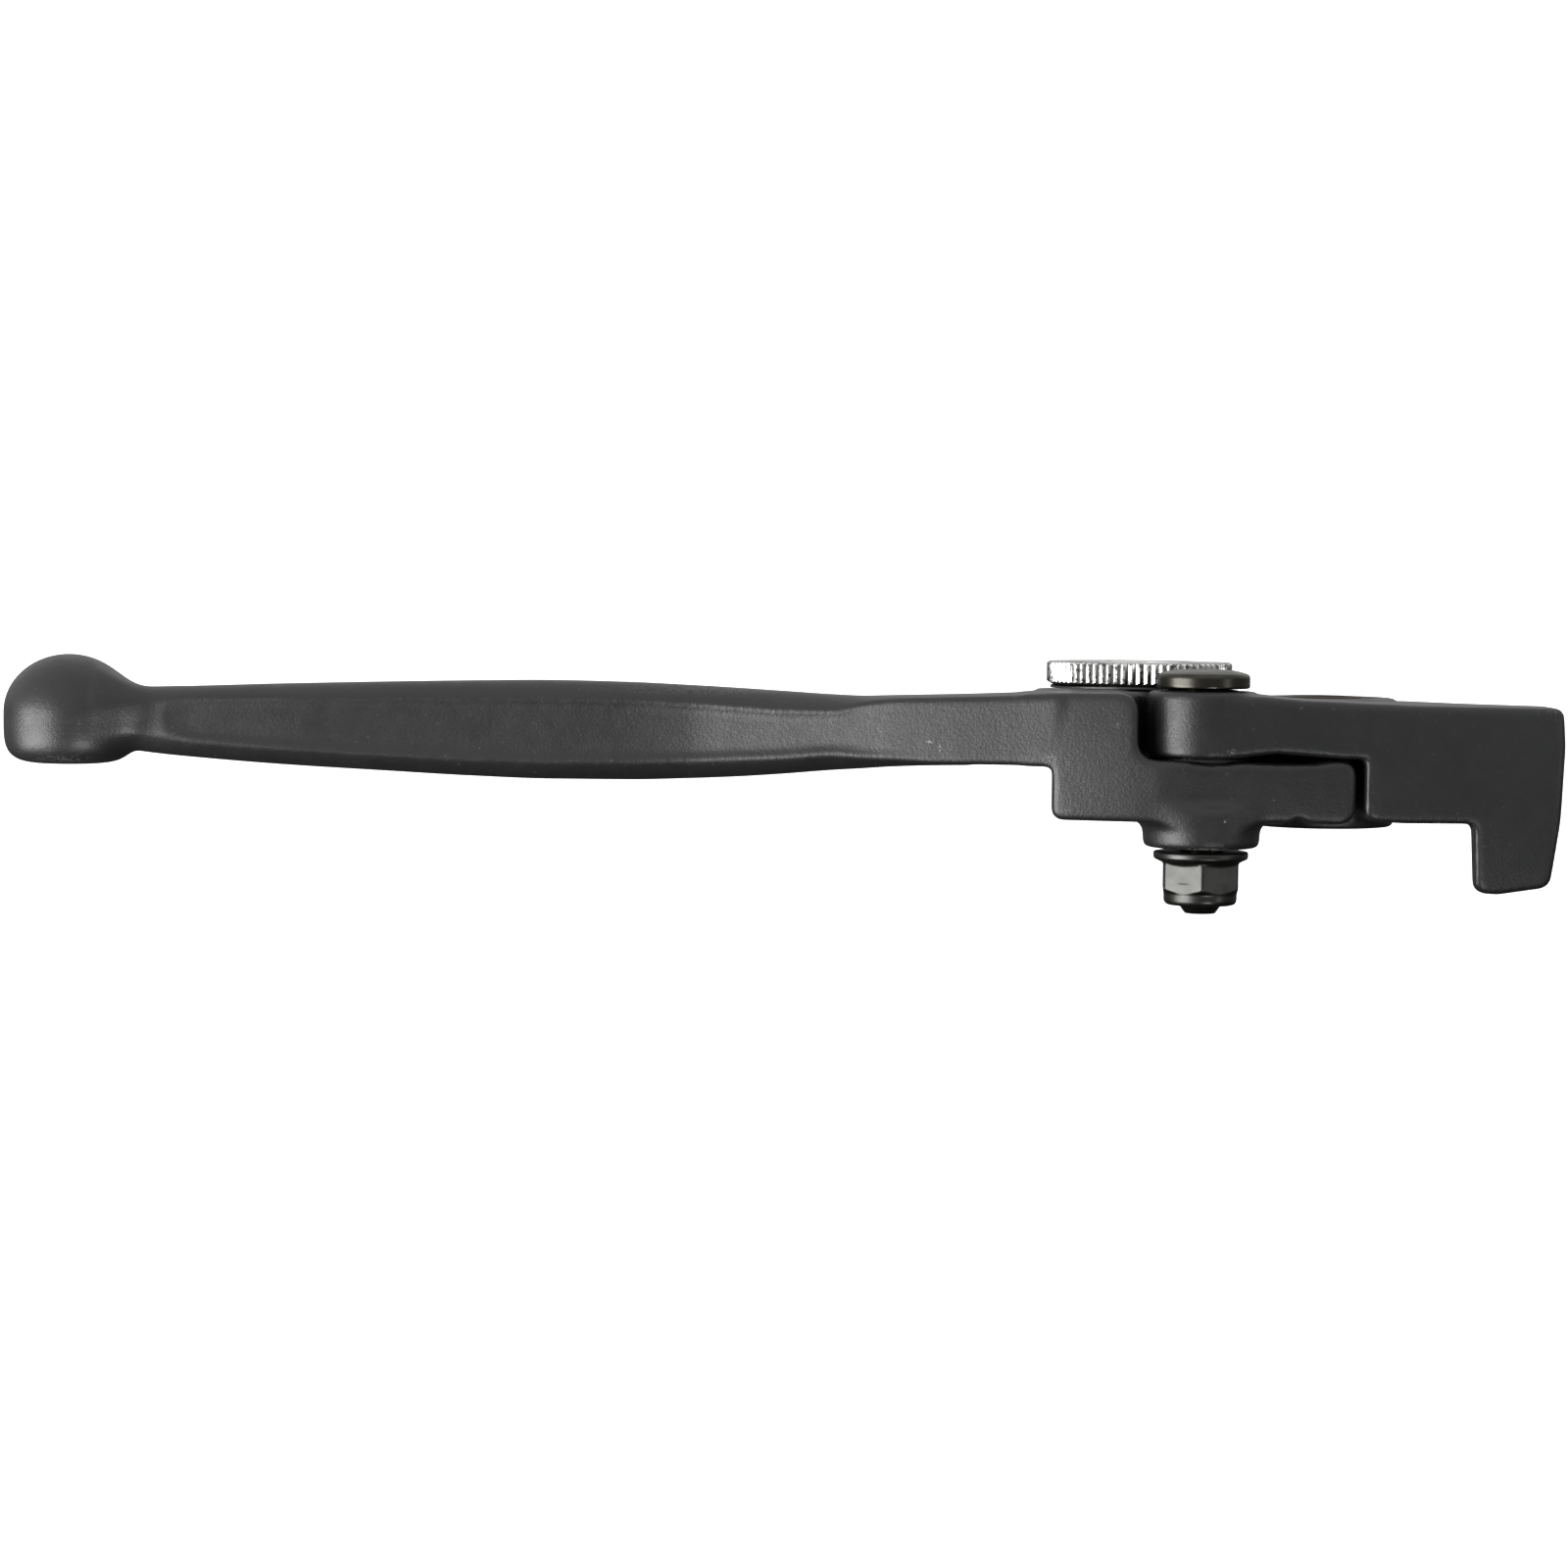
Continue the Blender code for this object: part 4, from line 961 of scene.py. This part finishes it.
# ------------------------------------------------------------------ reach dial
def build_dial():
    """76 straight teeth, a narrow rim on top and a cone below that cuts the teeth to points."""
    teeth, per = 76, 10
    n = teeth * per
    R, depth = 12.72, 0.33
    ang = np.arange(n) * TAU / n
    u = (np.arange(n) % per) / per
    # straight flanks up to a narrow worn crest, no two teeth worn quite alike
    wear = np.repeat(np.random.default_rng(11).uniform(0.0, 0.05, teeth), per)
    wear = np.roll(wear, -(per // 2))
    wave = np.clip((np.abs(u - 0.5) * 2 - 0.06) / 0.86, 0.0, 1.0)
    crest = np.minimum(R - depth * (1.0 - wave), R - wear)
    rows = []
    z0, z1 = 10.28, 13.45
    for z, cap in (
        (z0, 11.9), (z0 + 0.05, 12.0), (z0 + 0.2, 12.3), (z0 + 0.36, 12.58), (z0 + 0.48, 12.75),
        (z1 - 0.32, 12.75), (z1 - 0.2, 12.64), (z1 - 0.08, 12.45), (z1 - 0.02, 12.32), (z1, 12.2),
    ):
        rows.append((np.minimum(crest, cap), z))
    rows.append((np.full(n, 11.6), z1))
    rows.append((np.full(n, 11.45), z1 - 0.08))
    rows.append((np.full(n, 11.3), z1 - 0.10))
    rows.append((np.full(n, 5.6), z1 - 0.10))
    rows.append((np.full(n, 5.45), z1 - 0.02))
    rows.append((np.full(n, 5.3), z1))
    rows.append((np.full(n, 4.05), z1))
    rows.append((np.full(n, 3.9), z1 - 0.12))
    rows.append((np.full(n, 3.9), 12.3))
    rows.append((np.full(n, 3.0), 12.3))
    rows.append((np.full(n, 3.0), z0))
    rows.append((np.full(n, 11.6), z0))
    pts = np.array(
        [
            np.stack([DIAL[0] + r * np.cos(ang), DIAL[1] + r * np.sin(ang), np.full(n, z)], 1)
            for r, z in rows
        ]
    )
    m = len(rows)
    idx = np.arange(m * n).reshape(m, n)
    nxt = np.roll(idx, -1, axis=1)
    low = np.roll(idx, -1, axis=0)
    lown = np.roll(nxt, -1, axis=0)
    quads = np.stack([idx, nxt, lown, low], -1).reshape(-1, 4)
    return make_mesh("dial_fine", pts.reshape(-1, 3) * MM, quads, 24.0)


def text_body(word, size, at, angle, lo, hi):
    curve = bpy.data.curves.new("numeral", "FONT")
    curve.body = word
    curve.size = size * MM
    curve.align_x = "CENTER"
    curve.align_y = "CENTER"
    curve.extrude = (hi - lo) / 2 * MM
    curve.resolution_u = 4
    o = bpy.data.objects.new("numeral", curve)
    scene.collection.objects.link(o)
    o.matrix_world = Matrix.Translation(Vector((at[0], at[1], (lo + hi) / 2)) * MM) @ Matrix.Rotation(angle, 4, "Z")
    bpy.context.view_layer.update()
    dg = bpy.context.evaluated_depsgraph_get()
    me = bpy.data.meshes.new_from_object(o.evaluated_get(dg))
    me.transform(o.matrix_world)
    bpy.data.objects.remove(o, do_unlink=True)
    return me


dial = build_dial()
def chrome_material():
    """Bright plating, with painted shade darkening the valleys of the knurl, dirty patches on the crests and dull
    patches on the top face.
    """
    m, nodes, links, p = new_material("bright_chrome")
    c = object_coord(nodes)
    sep = nodes.new("ShaderNodeSeparateXYZ")
    links.new(c, sep.inputs[0])
    a = math_node(nodes, links, "SUBTRACT", sep.outputs[0], DIAL[0] * MM)
    b = math_node(nodes, links, "SUBTRACT", sep.outputs[1], DIAL[1] * MM)
    rad = math_node(
        nodes, links, "SQRT",
        math_node(nodes, links, "ADD", math_node(nodes, links, "MULTIPLY", a, a), math_node(nodes, links, "MULTIPLY", b, b)),
    )
    patch = noise(nodes, links, c, 1500.0, 3.0, 0.6)
    edge = math_node(nodes, links, "ADD", rad, math_node(nodes, links, "MULTIPLY", patch, 0.00010))
    # painted shade: between the crests and the top face the knurl's valleys get the dark colour
    crest = ramp(nodes, links, edge, 0.01242, 0.01252)
    face = ramp(nodes, links, rad, 0.01222, 0.01212)
    bright = math_node(nodes, links, "MAXIMUM", crest, face)
    tone = mix_colour(nodes, links, bright, (0.16, 0.158, 0.15), (0.78, 0.78, 0.77))
    dirt = math_node(
        nodes, links, "MULTIPLY", ramp(nodes, links, patch, 0.51, 0.61, 0.0, 0.9),
        math_node(nodes, links, "SUBTRACT", 1.0, face),
    )
    haze = mix_colour(nodes, links, dirt, tone, (0.05, 0.05, 0.048))
    soft = noise(nodes, links, c, 260.0, 3.0, 0.6)
    dull = math_node(nodes, links, "MULTIPLY", ramp(nodes, links, soft, 0.42, 0.66, 0.0, 0.45), face)
    haze = mix_colour(nodes, links, dull, haze, (0.42, 0.42, 0.41))
    links.new(mix_colour(nodes, links, bright, tone, haze), p.inputs["Base Color"])
    rough = ramp(nodes, links, bright, 0.0, 1.0, 0.45, 0.17)
    rough = math_node(nodes, links, "ADD", rough, ramp(nodes, links, patch, 0.35, 0.65, 0.0, 0.06))
    links.new(rough, p.inputs["Roughness"])
    rings = noise(nodes, links, rad, 9000.0, 2.0, 0.6, "1D")
    links.new(bump(nodes, links, rings, 0.08, 0.000012), p.inputs["Normal"])
    p.inputs["Metallic"].default_value = 1.0
    return m


chrome = chrome_material()
piece("dial_knurled", dial, chrome, "adjuster_dial", "dial")
bm = bmesh.new()
for k in range(5):
    a = math.radians(-118 - 72 * k + 14)
    at = (DIAL[0] + 8.9 * math.cos(a), DIAL[1] + 8.9 * math.sin(a))
    me = text_body(str(k + 1), 3.1, at, a + math.pi / 2, 13.345, 13.375)
    bm.from_mesh(me)
    bpy.data.meshes.remove(me)
numerals_me = bpy.data.meshes.new("dial_numerals")
bm.to_mesh(numerals_me)
bm.free()
numerals = bpy.data.objects.new("dial_numerals", numerals_me)
scene.collection.objects.link(numerals)
put(numerals, plastic("numeral_paint", (0.015, 0.015, 0.015), 0.5))
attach(numerals, "dial")


def build_wave_washer():
    n = 144
    ang = np.arange(n) * TAU / n
    lift = 0.07 * np.sin(3 * ang + 0.6)
    rows = [(5.0, 9.90), (5.05, 9.86), (12.15, 9.86), (12.2, 9.90), (12.2, 10.13), (12.15, 10.17), (5.05, 10.17), (5.0, 10.13)]
    pts = np.array(
        [
            np.stack([DIAL[0] + r * np.cos(ang), DIAL[1] + r * np.sin(ang), z + lift], 1)
            for r, z in rows
        ]
    )
    m = len(rows)
    idx = np.arange(m * n).reshape(m, n)
    nxt = np.roll(idx, -1, axis=1)
    quads = np.stack([idx, nxt, np.roll(nxt, -1, axis=0), np.roll(idx, -1, axis=0)], -1).reshape(-1, 4)
    return make_mesh("wave_washer_fine", pts.reshape(-1, 3) * MM, quads, 30.0)


piece(
    "friction_washer",
    turned([(5.0, 9.2, 0.06), (10.0, 9.2, 0.06), (10.0, 9.62, 0.06), (5.0, 9.62, 0.06)], *DIAL, 96),
    plastic("friction_nylon_black", (0.03, 0.03, 0.03), 0.45),
    "dial_friction_washer", "blade",
)
piece(
    "wave_washer", build_wave_washer(),
    turned_metal("wave_spring_steel", (0.16, 0.16, 0.155), 0.42, DIAL, 1.0),
    "dial_wave_washer", "blade",
)


# ------------------------------------------------------------------ adjuster shaft, cam, screw, pin
def square(cx, cy, side, r=0.3):
    h = side / 2
    return rounded([(cx - h, cy - h, r), (cx + h, cy - h, r), (cx + h, cy + h, r), (cx - h, cy + h, r)], 4)


def build_shaft():
    h = 0.13
    f = Field((DIAL[0] - 5, DIAL[1] - 5, -7.4), (DIAL[0] + 5, DIAL[1] + 5, 12.8), h)
    f.union(prism(square(*DIAL, 4.2, 0.3), -5.6, 12.1, 0.2))
    f.union(cylinder(*DIAL, 4.4, -6.75, -5.62, 0.4))
    f.union(cylinder(*DIAL, 2.9, -6.0, -2.75, 0.3))
    f.union(cylinder(*DIAL, 2.9, 3.75, 10.0, 0.3))
    f.minus(cylinder(*DIAL, 1.3, 6.5, 13.0), 0.2)
    # a shallow centre mark under the head
    f.minus(lambda x, y, z: np.sqrt((x - DIAL[0]) ** 2 + (y - DIAL[1]) ** 2 + (z + 7.2) ** 2) - 1.1, 0.15)
    return f.mesh("shaft_fine")


piece(
    "dial_shaft", build_shaft(),
    turned_metal("zinc_steel", (0.55, 0.55, 0.53), 0.3, DIAL, 1.0),
    "adjuster_shaft", "dial",
)


def cam_outline(n=160):
    dx, dy = DIAL[0] - HINGE[0], DIAL[1] - HINGE[1]

    def towards_pin(reach):
        c, s = math.cos(-reach), math.sin(-reach)
        at = (HINGE[0] + dx * c - dy * s, HINGE[1] + dx * s + dy * c)
        return math.hypot(-16.5 - at[0], 2.0 - at[1]) - 1.6 - 0.25

    least = towards_pin(math.radians(8.0))
    last = math.radians(8.0) * 35.0
    pts = []
    for k in range(n):
        psi = -TAU * k / n
        turned_by = -psi
        r = towards_pin(turned_by / 35.0) if turned_by <= last + 1e-9 else min(least / max(math.cos(turned_by - last), 0.2), 6.4)
        pts.append((DIAL[0] + r * math.cos(psi), DIAL[1] + r * math.sin(psi)))
    return list(reversed(pts))


def build_cam():
    h = 0.13
    f = Field((DIAL[0] - 7.2, DIAL[1] - 7.2, -3.0), (DIAL[0] + 7.2, DIAL[1] + 7.2, 4.0), h)
    f.union(prism(cam_outline(), -2.4, 3.4, 0.5))
    f.minus(prism(square(*DIAL, 4.6, 0.2), -5.0, 6.0, 0.0), 0.25)
    return f.mesh("cam_fine")


piece(
    "reach_cam", build_cam(),
    turned_metal("hardened_cam", (0.36, 0.36, 0.37), 0.3, DIAL, 1.0, grime=0.4),
    "adjuster_cam", "dial",
)
screw = from_bmesh(
    "dial_screw_fine",
    turned(
        [(0, 13.3), (2.9, 13.3, 0.25), (3.45, 13.0, 0.2), (3.45, 12.6, 0.15), (1.1, 12.6), (1.1, 7.0, 0.3), (0, 7.0)],
        *DIAL, 96,
    ),
)
cut_away(screw, from_bmesh("hex_key", extruded(circle(*DIAL, 1.35, 6), 12.75, 14.0)))
piece("dial_cap_screw", screw, turned_metal("stainless_screw", (0.62, 0.61, 0.59), 0.24, DIAL, 1.0), "dial_screw", "dial")
piece(
    "cam_pin",
    turned([(0, -2.2), (1.6, -2.2, 0.2), (1.6, 3.2, 0.2), (0, 3.2)], -16.5, 2.0, 64),
    turned_metal("pin_ground", (0.6, 0.6, 0.6), 0.22, (-16.5, 2.0), 1.0),
    "anvil_pin", "holder",
)


# ------------------------------------------------------------------ return spring and its cup
def build_spring():
    ax, az, y0, y1, mean, wire, coils = -5.5, -3.2, -19.7, -8.45, 1.92, 0.33, 6.5
    per, ring = 40, 14
    steps = int(coils * per)
    t = np.arange(steps + 1) / steps
    a = TAU * coils * t
    # the end coils are closed, the middle ones open
    lead = np.clip((t - 0.10) / 0.80, 0, 1)
    lead = 0.06 * t + 0.94 * lead * 1.0
    lead = lead / lead[-1]
    y = y0 + wire + (y1 - y0 - 2 * wire) * lead
    p = np.stack([ax + mean * np.cos(a), y, az + mean * np.sin(a)], 1)
    tan = np.gradient(p, axis=0)
    tan /= np.linalg.norm(tan, axis=1, keepdims=True)
    out = np.stack([np.cos(a), np.zeros_like(a), np.sin(a)], 1)
    up = np.cross(tan, out)
    up /= np.linalg.norm(up, axis=1, keepdims=True)
    b = np.arange(ring) * TAU / ring
    pts = p[:, None] + wire * (out[:, None] * np.cos(b)[None, :, None] + up[:, None] * np.sin(b)[None, :, None])
    bm = bmesh.new()
    rows = [[bm.verts.new(v) for v in row] for row in pts.tolist()]
    for r0, r1 in zip(rows, rows[1:]):
        for k in range(ring):
            j = (k + 1) % ring
            bm.faces.new((r0[k], r0[j], r1[j], r1[k]))
    bm.faces.new(list(reversed(rows[0])))
    bm.faces.new(rows[-1])
    return bm


spring = from_bmesh("spring_coil", build_spring(), 50.0)
put(spring, turned_metal("drawn_spring_wire", (0.58, 0.58, 0.58), 0.25, (-5.5, -3.2), 1.0, along="Y"))
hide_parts("return_spring")
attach(spring, "hinge")
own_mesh(spring)
piece(
    "spring_cup",
    turned([(0, -7.55), (2.85, -7.55, 0.4), (2.85, -9.6, 0.12), (2.5, -9.6, 0.12), (2.5, -8.15, 0.2), (0, -8.15)], -5.5, -3.2, 64, "Y"),
    turned_metal("pressed_cup", (0.5, 0.5, 0.48), 0.33, (-5.5, -3.2), 1.0, along="Y"),
    "spring_cap", "holder",
)


# ------------------------------------------------------------------ push rod barrel
def build_barrel():
    h = 0.14
    f = Field((BARREL[0] - 5.6, BARREL[1] - 5.6, -6.1), (BARREL[0] + 5.6, BARREL[1] + 5.6, 6.5), h)
    f.union(cylinder(*BARREL, 5.0, -5.5, 5.9, 0.9))
    f.minus(cylinder(BARREL[1], 0.0, 3.0, BARREL[0] - 1.0, 12.0, 0.0, "X"), 0.4)
    for s in (-5.5, 5.9):
        f.minus(lambda x, y, z, s=s: np.sqrt((x - BARREL[0]) ** 2 + (y - BARREL[1]) ** 2 + (z - s) ** 2) - 0.8, 0.15)
    return f.mesh("barrel_fine")


piece(
    "rod_barrel_brass", build_barrel(),
    turned_metal("turned_brass", (0.74, 0.55, 0.27), 0.27, BARREL, 1.0, grime=0.35),
    "push_rod_barrel", "rod_barrel",
)

# ------------------------------------------------------------------ floor, backdrop and light
def studio_set():
    """A white floor that runs up into a white wall all round, lit evenly."""
    prof = [(0.0, -0.20), (2.2, -0.20)]
    for k in range(1, 13):
        a = math.radians(90 * k / 12)
        prof.append((2.2 + 0.9 * math.sin(a), -0.20 + 0.9 * (1 - math.cos(a))))
    prof += [(3.1, 3.0), (1.5, 4.5), (0.0, 4.6)]
    n = 96
    bm = bmesh.new()
    rows = []
    for r, z in prof:
        rows.append([bm.verts.new((0, 0, z))] if r == 0 else [bm.verts.new((r * math.cos(TAU * k / n), r * math.sin(TAU * k / n), z)) for k in range(n)])
    for a, b in zip(rows, rows[1:]):
        for k in range(n):
            j = (k + 1) % n
            if len(a) == 1:
                bm.faces.new((a[0], b[k], b[j]))
            elif len(b) == 1:
                bm.faces.new((a[k], a[j], b[0]))
            else:
                bm.faces.new((a[k], a[j], b[j], b[k]))
    me = bpy.data.meshes.new("floor")
    bm.to_mesh(me)
    bm.free()
    me.shade_smooth()
    o = bpy.data.objects.new("floor", me)
    scene.collection.objects.link(o)
    m, nodes, links, p = new_material("floor_white")
    p.inputs["Base Color"].default_value = (0.9, 0.9, 0.9, 1)
    p.inputs["Roughness"].default_value = 0.9
    p.inputs["Specular IOR Level"].default_value = 0.1
    p.inputs["Emission Color"].default_value = (1, 1, 1, 1)
    p.inputs["Emission Strength"].default_value = 1.0
    put(o, m)
    # the set is background only: the lamps and the soft surround light the lever
    o.visible_diffuse = o.visible_glossy = o.visible_transmission = o.visible_shadow = False
    return o


studio_set()


def area(name, at, to, w, h, power):
    d = bpy.data.lights.new(name, "AREA")
    d.shape = "RECTANGLE"
    d.size, d.size_y = w, h
    d.energy = power
    o = bpy.data.objects.new(name, d)
    scene.collection.objects.link(o)
    o.location = at
    o.rotation_euler = (Vector(to) - Vector(at)).to_track_quat("-Z", "Y").to_euler()
    o.visible_camera = False
    return o


area("key_left", (-0.54, -0.29, -0.12), (-0.07, 0, 0), 0.50, 0.34, 6.1)
area("front_low", (0.13, -0.45, -0.29), (-0.12, 0, 0), 0.09, 0.09, 0.6)
d = bpy.data.lights.new("ball_spot", "SPOT")
d.energy = 5.4
d.spot_size = math.radians(11.0)
d.spot_blend = 1.0
d.shadow_soft_size = 0.035
ball_spot = bpy.data.objects.new("ball_spot", d)
scene.collection.objects.link(ball_spot)
ball_spot.location = (0.13, -0.45, -0.29)
ball_spot.rotation_euler = (Vector((-0.169, 0, 0.003)) - ball_spot.location).to_track_quat("-Z", "Y").to_euler()
area("side_right", (0.55, -0.40, -0.08), (0, 0, 0), 0.14, 0.30, 0.3)
world = bpy.data.worlds.new("studio")
world.use_nodes = True
wn, wl = world.node_tree.nodes, world.node_tree.links
wc = wn.new("ShaderNodeTexCoord")
ws = wn.new("ShaderNodeSeparateXYZ")
wl.new(wc.outputs["Generated"], ws.inputs[0])
wr = wn.new("ShaderNodeValToRGB")
wm = wn.new("ShaderNodeMapRange")
wl.new(ws.outputs[2], wm.inputs["Value"])
wm.inputs["From Min"].default_value = -1.0
wm.inputs["From Max"].default_value = 1.0
wl.new(wm.outputs["Result"], wr.inputs["Fac"])
for k, (at, v) in enumerate(((0.0, 0.03), (0.32, 0.04), (0.5, 0.17), (0.64, 0.80), (1.0, 1.0))):
    e = wr.color_ramp.elements[k] if k < 2 else wr.color_ramp.elements.new(at)
    e.position = at
    e.color = (v, v, v, 1)
wl.new(wr.outputs["Color"], wn["Background"].inputs[0])
wn["Background"].inputs[1].default_value = 1.0
scene.world = world
scene.view_settings.view_transform = "Standard"
scene.view_settings.look = "None"
